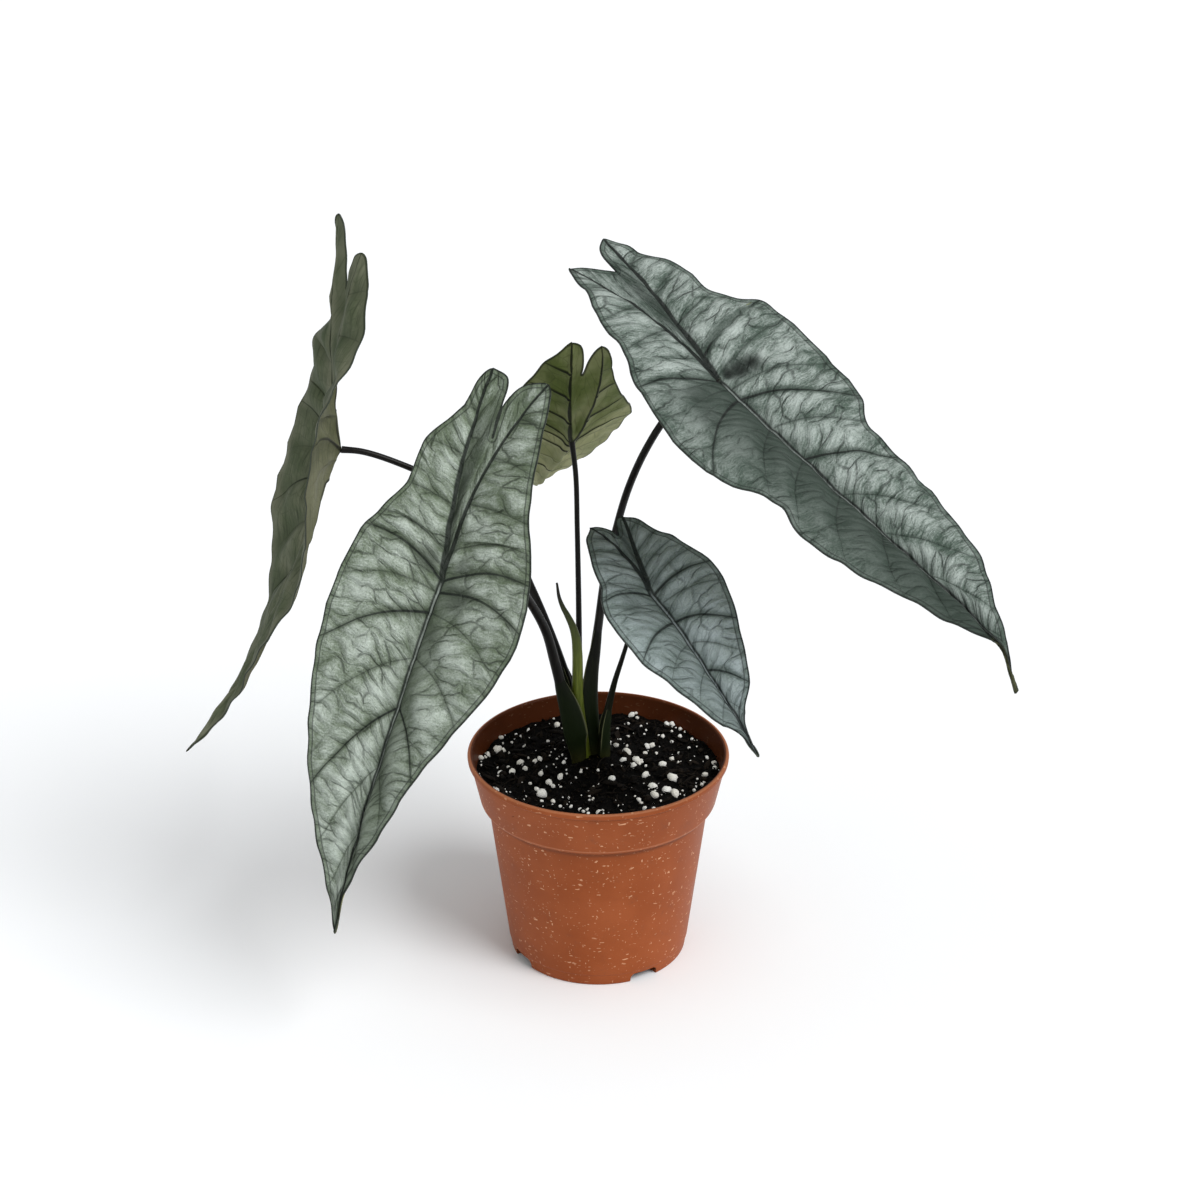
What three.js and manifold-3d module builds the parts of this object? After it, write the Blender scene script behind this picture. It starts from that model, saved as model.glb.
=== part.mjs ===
// An alocasia with five arrow-shaped leaves in a thin plastic nursery pot.
// Millimetres, +Z up. The origin is on the pot's axis at the underside of its base.
// The viewer who faces the front of the plant looks along +Y.
import * as THREE from 'three';
import { mergeVertices } from 'three/addons/utils/BufferGeometryUtils.js';
import Module from 'manifold-3d';

// Driving dimensions of the pot
const RIM_RADIUS = 60;
const POT_HEIGHT = 100.6;
const RIM_BAND = 23;
const LIP_HEIGHT = 3.2;
const BODY_TOP_RADIUS = 50.8;
const BAND_FOOT_RADIUS = 54.5;
const FOOT_RADIUS = 41;
const WALL = 1.3;
const LIP_WALL = 2.3;
const LIP_STEP = 1.3;
const BASE_THICKNESS = 1.6;
const EDGE_ROUND = 0.6;
const FOOT_RING_HEIGHT = 5.4;
const SHOULDER = { below: 2.4, middle: 1.2, above: 0.8, out: 2 };
const NOTCH = { count: 4, firstDeg: -59, width: 14, height: 3.6, depth: 9, outside: 3, corner: 1.5 };
const POT_SEGMENTS = 40;

// Driving dimensions of the filling and of the crown
const GAP = 0.3;
const SOIL_LEVEL = 90.5;
const SOIL_SEGMENTS = 32;
const SOIL_RINGS = [1, 0.88, 0.76, 0.62, 0.48, 0.34, 0.18];
const MOUND = { height: 2.6, spread: 17 };
const SOIL_WAVES = { wide: 0.7, fine: 0.4 };
const GRAIN_EDGE_RADIUS = 53.5;
const CROWN = { x: -3.5, y: 7, radius: 8.4, foot: 70, top: 92.6 };
const PERLITE = { count: 52, small: 1.2, large: 2.6 };
const CRUMBS = { count: 30, small: 2, large: 3.8 };

// Driving dimensions shared by all the blades
const BLADE_THICKNESS = 0.8;
const MIDRIB_KEEL = 1.2;
const KEEL_TAPER = 0.85;
const JOINT_ROOM = { width: 30, height: 20 };
const ROWS_PER_VEIN = 2;
const INNER_COLUMNS = 2;
const NOTCH_ROW = 2;
const CROSS_BULGE = 0.3;
const QUILTING = 0.055;

const COLOUR = {
  pot: 0x9b583a,
  soil: 0x1d1b18,
  corm: 0x3a2c1e,
  stalk: 0x241c1c,
  stalkGreen: 0x2c3320,
  spear: 0x5f732d,
  sage: 0x8fa090,
  silverGreen: 0x66786c,
  blueGrey: 0x667678,
  olive: 0x4b5032,
  darkOlive: 0x474c3a,
};

// Each leaf hangs from the point where its stalk meets the blade.
// heading, pitch and roll aim the midrib; bends are degrees per 100 mm, towards the tip
// and towards the lobes; fold is the rise of a blade half for each millimetre across.
// from lists where each lateral vein leaves the ribs: below 0 on the two lobe ribs,
// above 0 on the midrib. right and left list where those veins meet the margin,
// [across, along] or [across, along, rise], seen from above with the tip ahead.
const LEAVES = {
  front_left: {
    at: [-66, -56, 212], heading: -129, pitch: -54, roll: -9,
    bendTip: 9.5, bendLobes: 0, twist: 0, fold: 0.185, columns: 7,
    midrib: [[0, 0], [-2, 60], [-3, 120], [-5, 156]],
    from: [-94, -74, -54, -32, -12, 0, 5, 14, 34, 56, 82, 110, 156],
    right: [[13, -94], [20, -74], [30, -55], [31, -35], [35, -20], [39, -11], [44, 12],
      [41, 40], [34, 70], [24, 100], [14, 122], [4, 140], [-5, 156]],
    left: [[-13, -94], [-20, -75], [-25, -54], [-32, -34], [-39, -22], [-44, -10], [-48, 10],
      [-44, 32], [-35, 56], [-23, 84], [-13, 112], [-6, 133], [-5, 156]],
    notch: [3, -65],
    lobeRib: { right: [11, -47], left: [0, -50] },
    sinus: { right: [[8, -91], [5, -79]], left: [[-5, -88], [1, -79]] },
    colour: COLOUR.sage,
  },
  right: {
    at: [52, -21, 288], heading: -42, pitch: -28, roll: 8,
    bendTip: 0, bendLobes: 12, twist: 0, fold: 0.19, columns: 7,
    midrib: [[0, 0], [-1, 60], [-3, 140], [-2, 165], [10, 184]],
    from: [-90, -70, -52, -34, -14, 0, 5, 11, 30, 50, 72, 96, 122, 150, 184],
    right: [[8, -87], [14, -72], [25, -51], [30, -32], [38, -20], [42, -12], [50, 18],
      [49, 41], [32, 60], [34, 82], [28, 102], [18, 126], [7, 147], [0, 163], [10, 184]],
    left: [[-18, -93], [-21, -76], [-29, -58], [-31, -38], [-43, -22], [-44, -8], [-46, 14],
      [-41, 43], [-33, 62], [-34, 84], [-33, 107], [-25, 132], [-13, 152], [-4, 165],
      [10, 184]],
    notch: [-8, -75],
    lobeRib: { right: [0, -46], left: [-10, -47] },
    sinus: { right: [[2, -85], [-3, -81]], left: [[-13, -88], [-10, -80]] },
    colour: COLOUR.silverGreen,
  },
  small_front: {
    at: [22, -37, 199], heading: -57, pitch: -23, roll: 7,
    bendTip: 22, bendLobes: 23, twist: 0, fold: 0.26, columns: 5,
    midrib: [[0, 0], [-1, 40], [-2, 70], [-3, 91]],
    from: [-44, -33, -22, -11, 0, 3, 9, 20, 32, 46, 62, 91],
    right: [[3, -45], [10, -37], [14, -28], [18, -19], [21, -7], [26, 2], [29, 13],
      [26, 36], [19, 49], [12, 63], [6, 73], [-3, 91]],
    left: [[-12, -43], [-16, -36], [-19, -27], [-23, -17], [-26, -8], [-29, 2], [-30, 13],
      [-25, 32], [-19, 47], [-14, 60], [-8, 71], [-3, 91]],
    notch: [-5, -35],
    lobeRib: { right: [-1, -23], left: [-6, -21] },
    sinus: { right: [[0, -44], [-4, -39]], left: [[-9, -43], [-7, -40]] },
    colour: COLOUR.blueGrey,
  },
  far_left: {
    at: [-115, 16, 243], heading: -149.5, pitch: -74.5, roll: 18,
    bendTip: -18, bendLobes: -14, twist: 5.5, fold: 0.3, columns: 7,
    midrib: [[0, 0], [0, 80], [0, 158]],
    from: [-96, -76, -56, -36, -16, 0, 5, 14, 34, 56, 82, 110, 158],
    right: [[11, -104, 8], [21, -80, 4], [29, -58, 4], [33, -43, 11], [35, -22, 9],
      [37, -10, 11], [39, 12, 17], [38, 38, 16], [33, 66, 6], [28, 87, 5], [17, 118, 1],
      [9, 138, 0], [0, 158, 1]],
    left: [[-13, -91, 1], [-24, -73, 1], [-29, -56, 4], [-33, -36, 13], [-35, -22, 17],
      [-37, -10, 18], [-39, 12, 16], [-38, 38, 8], [-33, 66, 6], [-26, 94, 5],
      [-17, 118, 2], [-9, 138, 0], [0, 158, 1]],
    notch: [0, -73],
    lobeRib: { right: [7, -50], left: [-7, -46] },
    sinus: { right: [[6, -99], [3, -86]], left: [[-8, -90], [-3, -82]] },
    colour: COLOUR.darkOlive,
  },
  rear: {
    at: [-12, 34, 241], heading: 104, pitch: -44, roll: 1,
    bendTip: -19, bendLobes: -44, twist: 2, fold: 0.48, columns: 5,
    midrib: [[0, 0], [-3, 50], [0, 97]],
    from: [-64, -48, -33, -16, 0, 4, 10, 26, 40, 56, 74, 97],
    right: [[5, -62], [13, -46], [17, -33], [24, -14], [29, -1], [32, 12], [30, 22],
      [27, 40], [21, 56], [15, 70], [8, 83], [0, 97]],
    left: [[-8, -66], [-16, -50], [-21, -34], [-26, -19], [-30, -4], [-31, 8], [-28, 20],
      [-26, 38], [-20, 55], [-14, 70], [-8, 84], [0, 97]],
    notch: [-2, -50],
    lobeRib: { right: [5, -34], left: [-5, -34] },
    sinus: { right: [[3, -61], [0, -56]], left: [[-5, -64], [-3, -57]] },
    colour: COLOUR.olive,
  },
};

// Stalks run from the crown to their blades: [x, y, z, radius] at each point.
const STALKS = {
  front_left: {
    points: [[-10, 4.5, 82, 2.6], [-10.5, 4.5, 95, 3.2], [-12.5, 4.5, 106, 3.1],
      [-14.7, 4, 122, 2.8], [-17, 2, 135, 2.5], [-19.2, 0, 147, 2.3], [-22, -4, 162, 2.1],
      [-27, -10, 176, 2], [-34, -18, 190, 1.9], [-43, -29, 202, 1.9], [-55, -43, 210, 1.9],
      [-66, -56, 212, 1.9]],
    colour: COLOUR.stalk,
  },
  far_left: {
    points: [[-8.6, 10.8, 82, 2.5], [-9, 10.8, 95, 3.1], [-10.8, 11, 110, 2.9],
      [-13, 12.5, 126, 2.6], [-17, 14, 142, 2.3], [-22, 15, 158, 2.1], [-29, 16.5, 174, 1.9],
      [-38, 17.5, 193, 1.7], [-51, 18, 212, 1.6], [-68, 17, 227, 1.5], [-89, 16, 238, 1.4],
      [-104, 16, 243, 1.4], [-115, 16, 243, 1.4]],
    colour: COLOUR.stalk,
  },
  right: {
    points: [[-2, 9.5, 82, 2.5], [-2, 9.5, 95, 3.2], [-3, 9.8, 107, 3.2], [-3.6, 10, 122, 2.9],
      [-2.8, 10.5, 137, 2.5], [-1.5, 11, 147, 2.2], [0.3, 11.5, 161, 2], [3, 12, 183, 1.8],
      [7, 12, 202, 1.7], [13, 9.5, 226, 1.7], [21, 4, 248, 1.7], [31, -4, 268, 1.7],
      [42, -13, 282, 1.7], [52, -21, 288, 1.7]],
    colour: COLOUR.stalk,
  },
  small_front: {
    points: [[2, 4.5, 82, 2], [2.4, 4.5, 97, 2.6], [3.3, 4, 113, 2], [5.4, 3, 125, 1.6],
      [7.6, 1, 136, 1.3], [10.3, -2, 147, 1.1], [12.3, -5.5, 156, 1], [15.5, -15, 173, 1],
      [19, -26, 188, 1], [22, -37, 199, 1]],
    colour: COLOUR.stalkGreen,
  },
  rear: {
    points: [[-4, 14.5, 82, 1.9], [-4.8, 15, 93, 2.4], [-6.6, 17, 109, 2], [-8.4, 19, 124, 1.7],
      [-9.1, 21, 138, 1.5], [-9.3, 24, 160, 1.3], [-10, 29, 199, 1.2], [-10.5, 32, 224, 1.2],
      [-12, 34, 241, 1.2]],
    colour: COLOUR.stalk,
  },
};

// The rolled new leaf, which stands between the stalks
const SPEAR = {
  points: [[-5.4, 5.5, 82, 1.8], [-6, 5.5, 94, 2.4], [-7.2, 5.8, 106, 2.5], [-8.6, 6, 119, 2.5],
    [-9.3, 6.2, 134, 2.5], [-10.3, 6.2, 149, 2.2], [-12.7, 6, 164, 1.4], [-16, 6, 174, 0.8],
    [-18.8, 6, 183, 0.35]],
  colour: COLOUR.spear,
};
const STALK_SIDES = 8;

const wasm = await Module();
wasm.setup();

const rad = THREE.MathUtils.degToRad;

function material(colour, roughness) {
  return new THREE.MeshStandardMaterial({ color: colour, roughness, metalness: 0 });
}

// A seeded draw between 0 and 1, the same on every run
function draws(seed) {
  let state = seed;
  return () => {
    state = (state * 1664525 + 1013904223) % 4294967296;
    return state / 4294967296;
  };
}

// Solids for cutting and joining, and back again
function solidOf(geometry) {
  const bare = geometry.clone();
  for (const name of Object.keys(bare.attributes)) {
    if (name !== 'position') {
      bare.deleteAttribute(name);
    }
  }
  const merged = mergeVertices(bare, 1e-4);
  return new wasm.Manifold(new wasm.Mesh({
    numProp: 3,
    vertProperties: new Float32Array(merged.attributes.position.array),
    triVerts: new Uint32Array(merged.index.array),
  }));
}

function geometryOf(solid) {
  const mesh = solid.getMesh();
  const geometry = new THREE.BufferGeometry();
  geometry.setAttribute('position', new THREE.BufferAttribute(mesh.vertProperties, 3));
  geometry.setIndex(new THREE.BufferAttribute(mesh.triVerts, 1));
  geometry.computeVertexNormals();
  return geometry;
}

// The main body of a solid, without loose scraps
function largest(solid) {
  const bodies = solid.decompose();
  return bodies.reduce((best, body) => (body.volume() > best.volume() ? body : best));
}

function indexed(positions, triangles) {
  const geometry = new THREE.BufferGeometry();
  geometry.setAttribute('position', new THREE.Float32BufferAttribute(positions, 3));
  geometry.setIndex(triangles);
  geometry.computeVertexNormals();
  return geometry;
}

// The pot: one thin wall turned about the axis, with drainage notches round the foot
function potProfile() {
  const bandFoot = POT_HEIGHT - RIM_BAND;
  const bandTop = POT_HEIGHT - LIP_HEIGHT;
  const ring = FOOT_RADIUS + EDGE_ROUND;
  const outer = [
    [0, 0], [FOOT_RADIUS - EDGE_ROUND, 0], [FOOT_RADIUS, EDGE_ROUND], [ring, FOOT_RING_HEIGHT],
    [ring + 0.4, FOOT_RING_HEIGHT + 0.4], [BODY_TOP_RADIUS, bandFoot - SHOULDER.below],
    [BODY_TOP_RADIUS + SHOULDER.out, bandFoot - SHOULDER.middle],
    [BAND_FOOT_RADIUS, bandFoot + SHOULDER.above],
    [RIM_RADIUS - LIP_STEP, bandTop], [RIM_RADIUS, bandTop + 0.8],
    [RIM_RADIUS, POT_HEIGHT - EDGE_ROUND], [RIM_RADIUS - EDGE_ROUND, POT_HEIGHT],
    [RIM_RADIUS - LIP_WALL + EDGE_ROUND, POT_HEIGHT],
  ];
  const inner = [
    [RIM_RADIUS - LIP_WALL, POT_HEIGHT - 0.8], [BAND_FOOT_RADIUS - WALL, bandFoot + 2 * WALL],
    [BODY_TOP_RADIUS - WALL, bandFoot], [FOOT_RADIUS - WALL, BASE_THICKNESS],
    [0, BASE_THICKNESS],
  ];
  return [...outer, ...inner].map(([r, z]) => new THREE.Vector2(r, z));
}

function turned(profile, segments) {
  const geometry = new THREE.LatheGeometry(profile, segments);
  geometry.rotateX(Math.PI / 2);
  return geometry;
}

function notchCutter(angle) {
  const half = NOTCH.width / 2;
  const { height, corner } = NOTCH;
  const arch = new THREE.Shape();
  arch.moveTo(-half, -1);
  arch.lineTo(half, -1);
  arch.lineTo(half, height - corner);
  arch.quadraticCurveTo(half, height, half - corner, height);
  arch.lineTo(corner - half, height);
  arch.quadraticCurveTo(-half, height, -half, height - corner);
  const geometry = new THREE.ExtrudeGeometry(arch, {
    depth: NOTCH.depth, bevelEnabled: false, curveSegments: 3,
  });
  geometry.rotateX(Math.PI / 2);
  geometry.translate(0, NOTCH.depth - FOOT_RADIUS - NOTCH.outside, 0);
  geometry.rotateZ(angle);
  return geometry;
}

function potMesh() {
  let solid = solidOf(turned(potProfile(), POT_SEGMENTS));
  for (let i = 0; i < NOTCH.count; i += 1) {
    const angle = rad(NOTCH.firstDeg + (360 / NOTCH.count) * i);
    solid = solid.subtract(solidOf(notchCutter(angle)));
  }
  return new THREE.Mesh(geometryOf(solid), material(COLOUR.pot, 0.55));
}

// The potting mix: a plug with an uneven top, perlite grains and crumbs sunk into it
function soilHeight(x, y) {
  const d2 = (x - CROWN.x) ** 2 + (y - CROWN.y) ** 2;
  const mound = MOUND.height * Math.exp(-d2 / (2 * MOUND.spread ** 2));
  const wide = SOIL_WAVES.wide * Math.sin(x * 0.21 + 1) * Math.cos(y * 0.17);
  const fine = SOIL_WAVES.fine * Math.sin(x * 0.5 - y * 0.4);
  return SOIL_LEVEL + mound + wide + fine;
}

function soilBody() {
  const bandFoot = POT_HEIGHT - RIM_BAND;
  const wallAt = BAND_FOOT_RADIUS - WALL - GAP;
  const slope = (RIM_RADIUS - LIP_WALL - (BAND_FOOT_RADIUS - WALL)) / (RIM_BAND - 0.8 - 2 * WALL);
  const edgeRadius = wallAt + slope * (SOIL_LEVEL - bandFoot - 2 * WALL) - GAP;
  const walls = [
    [FOOT_RADIUS - WALL - 2 * GAP, BASE_THICKNESS + GAP],
    [BODY_TOP_RADIUS - WALL - 2 * GAP, bandFoot],
    [wallAt - GAP, bandFoot + 2 * WALL + GAP],
  ];
  const topRadii = SOIL_RINGS.map((f) => f * edgeRadius);
  const positions = [0, 0, BASE_THICKNESS + GAP];
  const rings = walls.length + topRadii.length;
  for (let k = 0; k < rings; k += 1) {
    for (let i = 0; i < SOIL_SEGMENTS; i += 1) {
      const a = (2 * Math.PI * i) / SOIL_SEGMENTS;
      const r = k < walls.length ? walls[k][0] : topRadii[k - walls.length];
      const x = r * Math.cos(a);
      const y = r * Math.sin(a);
      positions.push(x, y, k < walls.length ? walls[k][1] : soilHeight(x, y));
    }
  }
  positions.push(0, 0, soilHeight(0, 0));
  const triangles = [];
  const at = (k, i) => 1 + k * SOIL_SEGMENTS + (i % SOIL_SEGMENTS);
  const last = 1 + rings * SOIL_SEGMENTS;
  for (let i = 0; i < SOIL_SEGMENTS; i += 1) {
    triangles.push(0, at(0, i + 1), at(0, i));
    triangles.push(last, at(rings - 1, i), at(rings - 1, i + 1));
    for (let k = 0; k < rings - 1; k += 1) {
      triangles.push(at(k, i), at(k, i + 1), at(k + 1, i + 1));
      triangles.push(at(k, i), at(k + 1, i + 1), at(k + 1, i));
    }
  }
  return solidOf(indexed(positions, triangles));
}

function scattered(kind, seed, sink) {
  const draw = draws(seed);
  const grains = [];
  for (let i = 0; i < kind.count; i += 1) {
    const size = kind.small + (kind.large - kind.small) * draw() ** 2;
    const r = (GRAIN_EDGE_RADIUS - size) * Math.sqrt(draw());
    const a = 2 * Math.PI * draw();
    const turn = [draw() * 3, draw() * 3, draw() * 3];
    const x = r * Math.cos(a);
    const y = r * Math.sin(a);
    if (Math.hypot(x - CROWN.x, y - CROWN.y) < CROWN.radius + size + 1) {
      continue;
    }
    const grain = new THREE.OctahedronGeometry(size);
    grain.scale(1, 0.85, 0.75);
    grain.rotateX(turn[0]);
    grain.rotateY(turn[1]);
    grain.rotateZ(turn[2]);
    grain.translate(x, y, soilHeight(x, y) + size * sink);
    grains.push(solidOf(grain));
  }
  return grains;
}

function cormHole() {
  const depth = CROWN.top - CROWN.foot + 20;
  const hole = new THREE.CylinderGeometry(CROWN.radius + GAP, CROWN.radius + GAP, depth, 24);
  hole.rotateX(Math.PI / 2);
  hole.translate(CROWN.x, CROWN.y, CROWN.foot - GAP + depth / 2);
  return solidOf(hole);
}

function soilMesh(rooms) {
  let solid = soilBody();
  for (const grain of [...scattered(PERLITE, 11, 0.25), ...scattered(CRUMBS, 29, -0.1)]) {
    solid = solid.add(grain);
  }
  solid = solid.subtract(cormHole());
  for (const room of rooms) {
    solid = solid.subtract(room);
  }
  return new THREE.Mesh(geometryOf(largest(solid)), material(COLOUR.soil, 0.95));
}

// A closed tube through points that carry their own radius, grown by extra
function tube(points, extra) {
  const curve = new THREE.CatmullRomCurve3(points.map(([x, y, z]) => new THREE.Vector3(x, y, z)));
  const steps = (points.length - 1) * 2;
  const positions = [];
  const away = new THREE.Vector3(0, 1, 0);
  for (let k = 0; k <= steps; k += 1) {
    const t = k / steps;
    const centre = curve.getPoint(t);
    const ahead = curve.getTangent(t);
    const side = new THREE.Vector3().crossVectors(ahead, away).normalize();
    const back = new THREE.Vector3().crossVectors(side, ahead).normalize();
    const at = t * (points.length - 1);
    const below = Math.min(Math.floor(at), points.length - 2);
    const radius = THREE.MathUtils.lerp(points[below][3], points[below + 1][3], at - below) + extra;
    for (let i = 0; i < STALK_SIDES; i += 1) {
      const a = (2 * Math.PI * i) / STALK_SIDES;
      const p = centre.clone();
      p.addScaledVector(side, radius * Math.cos(a));
      p.addScaledVector(back, radius * Math.sin(a));
      positions.push(p.x, p.y, p.z);
    }
  }
  const triangles = [];
  const at = (k, i) => k * STALK_SIDES + (i % STALK_SIDES);
  for (let i = 0; i < STALK_SIDES; i += 1) {
    for (let k = 0; k < steps; k += 1) {
      triangles.push(at(k, i), at(k + 1, i + 1), at(k, i + 1));
      triangles.push(at(k, i), at(k + 1, i), at(k + 1, i + 1));
    }
  }
  for (let i = 1; i < STALK_SIDES - 1; i += 1) {
    triangles.push(at(0, 0), at(0, i), at(0, i + 1));
    triangles.push(at(steps, 0), at(steps, i + 1), at(steps, i));
  }
  return solidOf(indexed(positions, triangles));
}

// What a stalk's top is cut by: the room that its blade takes at the joint
function bladeRoom(leaf) {
  const { width, height } = JOINT_ROOM;
  const room = new THREE.BoxGeometry(width, width, height);
  room.translate(0, 0, height / 2 - BLADE_THICKNESS / 2 - MIDRIB_KEEL - GAP);
  const place = new THREE.Object3D();
  placeLeaf(place, leaf);
  room.applyMatrix4(place.matrixWorld);
  return solidOf(room);
}

// Blades
function placeLeaf(object, leaf) {
  object.position.set(...leaf.at);
  object.rotation.set(rad(leaf.pitch), rad(leaf.roll), rad(leaf.heading - 90), 'ZXY');
  object.updateMatrixWorld();
}

function smooth(points) {
  return new THREE.CatmullRomCurve3(points.map(([x, y, z = 0]) => new THREE.Vector3(x, y, z)));
}

// The midrib's sideways place at a distance along it
function midribX(leaf, along) {
  const list = leaf.midrib;
  let k = 0;
  while (k < list.length - 2 && along > list[k + 1][1]) {
    k += 1;
  }
  const f = (along - list[k][1]) / (list[k + 1][1] - list[k][1]);
  return smooth(list).getPoint((k + f) / (list.length - 1)).x;
}

// A blade half's flat outline as points [across, along, rise] on a row and column
function halfBlade(leaf, side) {
  const rise = ([x, y, z]) => [x, y, z === undefined ? leaf.fold * Math.abs(x) : z];
  const margin = leaf[side].map(rise);
  const lobe = margin[0];
  const outer = smooth(margin);
  const rows = leaf.from.length - 1;
  const jointRow = leaf.from.indexOf(0);
  const sinus = smooth([lobe, ...leaf.sinus[side], leaf.notch]);
  const middle = leaf.lobeRib[side];

  function along(row) {
    const k = Math.min(Math.floor(row), rows - 1);
    return THREE.MathUtils.lerp(leaf.from[k], leaf.from[k + 1], row - k);
  }
  function rib(row) {
    const y = along(row);
    if (y >= 0) {
      return new THREE.Vector3(midribX(leaf, y), y, 0);
    }
    const f = y / leaf.from[0];
    const bow = 4 * f * (1 - f);
    const end = f * (2 * f - 1);
    return new THREE.Vector3(bow * middle[0] + end * lobe[0], bow * middle[1] + end * lobe[1],
      lobe[2] * f * f);
  }
  function outerPoint(row, t) {
    const start = rib(row);
    const stop = outer.getPoint(row / rows);
    const p = start.clone().lerp(stop, t);
    p.z += (stop.z - start.z) * CROSS_BULGE * t * (1 - t);
    const k = Math.min(Math.floor(row), rows - 1);
    const spacing = leaf.from[k + 1] - leaf.from[k];
    p.z += QUILTING * spacing * Math.sin(Math.PI * row) ** 2 * Math.sin(Math.PI * t);
    return p;
  }
  function innerEdge(row) {
    if (row >= NOTCH_ROW) {
      const f = (jointRow - row) / (jointRow - NOTCH_ROW);
      return new THREE.Vector3(leaf.notch[0] * f, leaf.notch[1] * f, 0);
    }
    const p = sinus.getPoint(row / NOTCH_ROW);
    p.z = lobe[2] * (1 - row / NOTCH_ROW);
    return p;
  }
  function innerPoint(row, t) {
    return rib(row).lerp(innerEdge(row), t);
  }
  return { rows, jointRow, outerPoint, innerPoint };
}

// Carries a point of the flat outline onto the bent and twisted blade
function bent(leaf, p) {
  const k = rad(p.y >= 0 ? leaf.bendTip : leaf.bendLobes) / 100 || 1e-9;
  const turn = k * p.y;
  const spine = new THREE.Vector3(0, Math.sin(turn) / k, (Math.cos(turn) - 1) / k);
  const up = new THREE.Vector3(0, Math.sin(turn), Math.cos(turn));
  const across = new THREE.Vector3(1, 0, 0);
  const twist = rad(leaf.twist) * (p.y / 100);
  const side = across.clone().multiplyScalar(Math.cos(twist)).addScaledVector(up, -Math.sin(twist));
  const top = up.clone().multiplyScalar(Math.cos(twist)).addScaledVector(across, Math.sin(twist));
  return spine.addScaledVector(side, p.x).addScaledVector(top, p.z);
}

function bladeSheet(leaf) {
  const ids = new Map();
  const points = [];
  const keels = [];
  const triangles = [];
  const length = leaf.from[leaf.from.length - 1];
  function vertex(key, make, keel) {
    if (!ids.has(key)) {
      ids.set(key, points.length);
      points.push(bent(leaf, make()));
      keels.push(keel);
    }
    return ids.get(key);
  }
  function quad(a, b, c, d, flip) {
    for (const [p, q, r] of [[a, b, c], [a, c, d]]) {
      if (p !== q && q !== r && r !== p) {
        triangles.push(...(flip ? [p, r, q] : [p, q, r]));
      }
    }
  }
  for (const side of ['right', 'left']) {
    const half = halfBlade(leaf, side);
    const last = half.rows * ROWS_PER_VEIN;
    const joint = half.jointRow * ROWS_PER_VEIN;
    const notch = NOTCH_ROW * ROWS_PER_VEIN;
    const outerName = (i, j) => {
      if (i === last) {
        return 'tip';
      }
      if (i === 0) {
        return `${side} lobe`;
      }
      if (j === 0) {
        return i >= joint ? `midrib ${i}` : `${side} rib ${i}`;
      }
      return `${side} outer ${i} ${j}`;
    };
    const outerId = (i, j) => {
      const row = i / ROWS_PER_VEIN;
      const onRib = j === 0 && i > 0 && i < last;
      const reach = Math.abs(leaf.from[Math.round(row)] / length);
      const keel = onRib ? MIDRIB_KEEL * (1 - KEEL_TAPER * reach) : 0;
      return vertex(outerName(i, j), () => half.outerPoint(row, j / leaf.columns), keel);
    };
    const innerId = (i, j) => {
      if (j === 0 || i === joint || i === 0) {
        return outerId(i, 0);
      }
      const shared = j === INNER_COLUMNS && i >= notch;
      const name = shared ? `middle ${i}` : `${side} inner ${i} ${j}`;
      return vertex(name, () => half.innerPoint(i / ROWS_PER_VEIN, j / INNER_COLUMNS), 0);
    };
    const flip = side === 'left';
    for (let i = 0; i < last; i += 1) {
      for (let j = 0; j < leaf.columns; j += 1) {
        quad(outerId(i, j), outerId(i, j + 1), outerId(i + 1, j + 1), outerId(i + 1, j), flip);
      }
    }
    for (let i = 0; i < joint; i += 1) {
      for (let j = 0; j < INNER_COLUMNS; j += 1) {
        quad(innerId(i, j), innerId(i, j + 1), innerId(i + 1, j + 1), innerId(i + 1, j), !flip);
      }
    }
  }
  return { points, keels, triangles };
}

// Gives a sheet its thickness: the same triangles above and below, and a rim between
function thickened(sheet) {
  const { points, keels, triangles } = sheet;
  const normals = points.map(() => new THREE.Vector3());
  const edges = new Map();
  for (let k = 0; k < triangles.length; k += 3) {
    const corner = triangles.slice(k, k + 3);
    const [a, b, c] = corner.map((i) => points[i]);
    const n = new THREE.Vector3().crossVectors(b.clone().sub(a), c.clone().sub(a));
    corner.forEach((i, j) => {
      normals[i].add(n);
      const next = corner[(j + 1) % 3];
      if (!edges.delete(`${next} ${i}`)) {
        edges.set(`${i} ${next}`, [i, next]);
      }
    });
  }
  const half = BLADE_THICKNESS / 2;
  const above = points.map((p, i) => p.clone().addScaledVector(normals[i].normalize(), half));
  const below = points.map((p, i) => p.clone().addScaledVector(normals[i], -half - keels[i]));
  const positions = [...above, ...below].flatMap((p) => [p.x, p.y, p.z]);
  const n = points.length;
  const faces = [...triangles];
  for (let k = 0; k < triangles.length; k += 3) {
    faces.push(triangles[k] + n, triangles[k + 2] + n, triangles[k + 1] + n);
  }
  for (const [i, next] of edges.values()) {
    faces.push(i, i + n, next + n, i, next + n, next);
  }
  return indexed(positions, faces);
}

function bladeMesh(leaf) {
  const mesh = new THREE.Mesh(thickened(bladeSheet(leaf)), material(leaf.colour, 0.5));
  placeLeaf(mesh, leaf);
  return mesh;
}

// The corm's top, in its hole in the mix, with a socket for the foot of each stalk
function cormBody() {
  const { radius, foot, top } = CROWN;
  const profile = [[0, foot], [radius - 2, foot], [radius, foot + 4], [radius, top - 3],
    [radius - 1.5, top - 0.8], [radius - 4, top], [0, top]].map(([r, z]) => new THREE.Vector2(r, z));
  const geometry = turned(profile, 20);
  geometry.translate(CROWN.x, CROWN.y, 0);
  return solidOf(geometry);
}

const plant = new THREE.Group();

function add(name, mesh) {
  mesh.name = name;
  plant.add(mesh);
}

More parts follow.
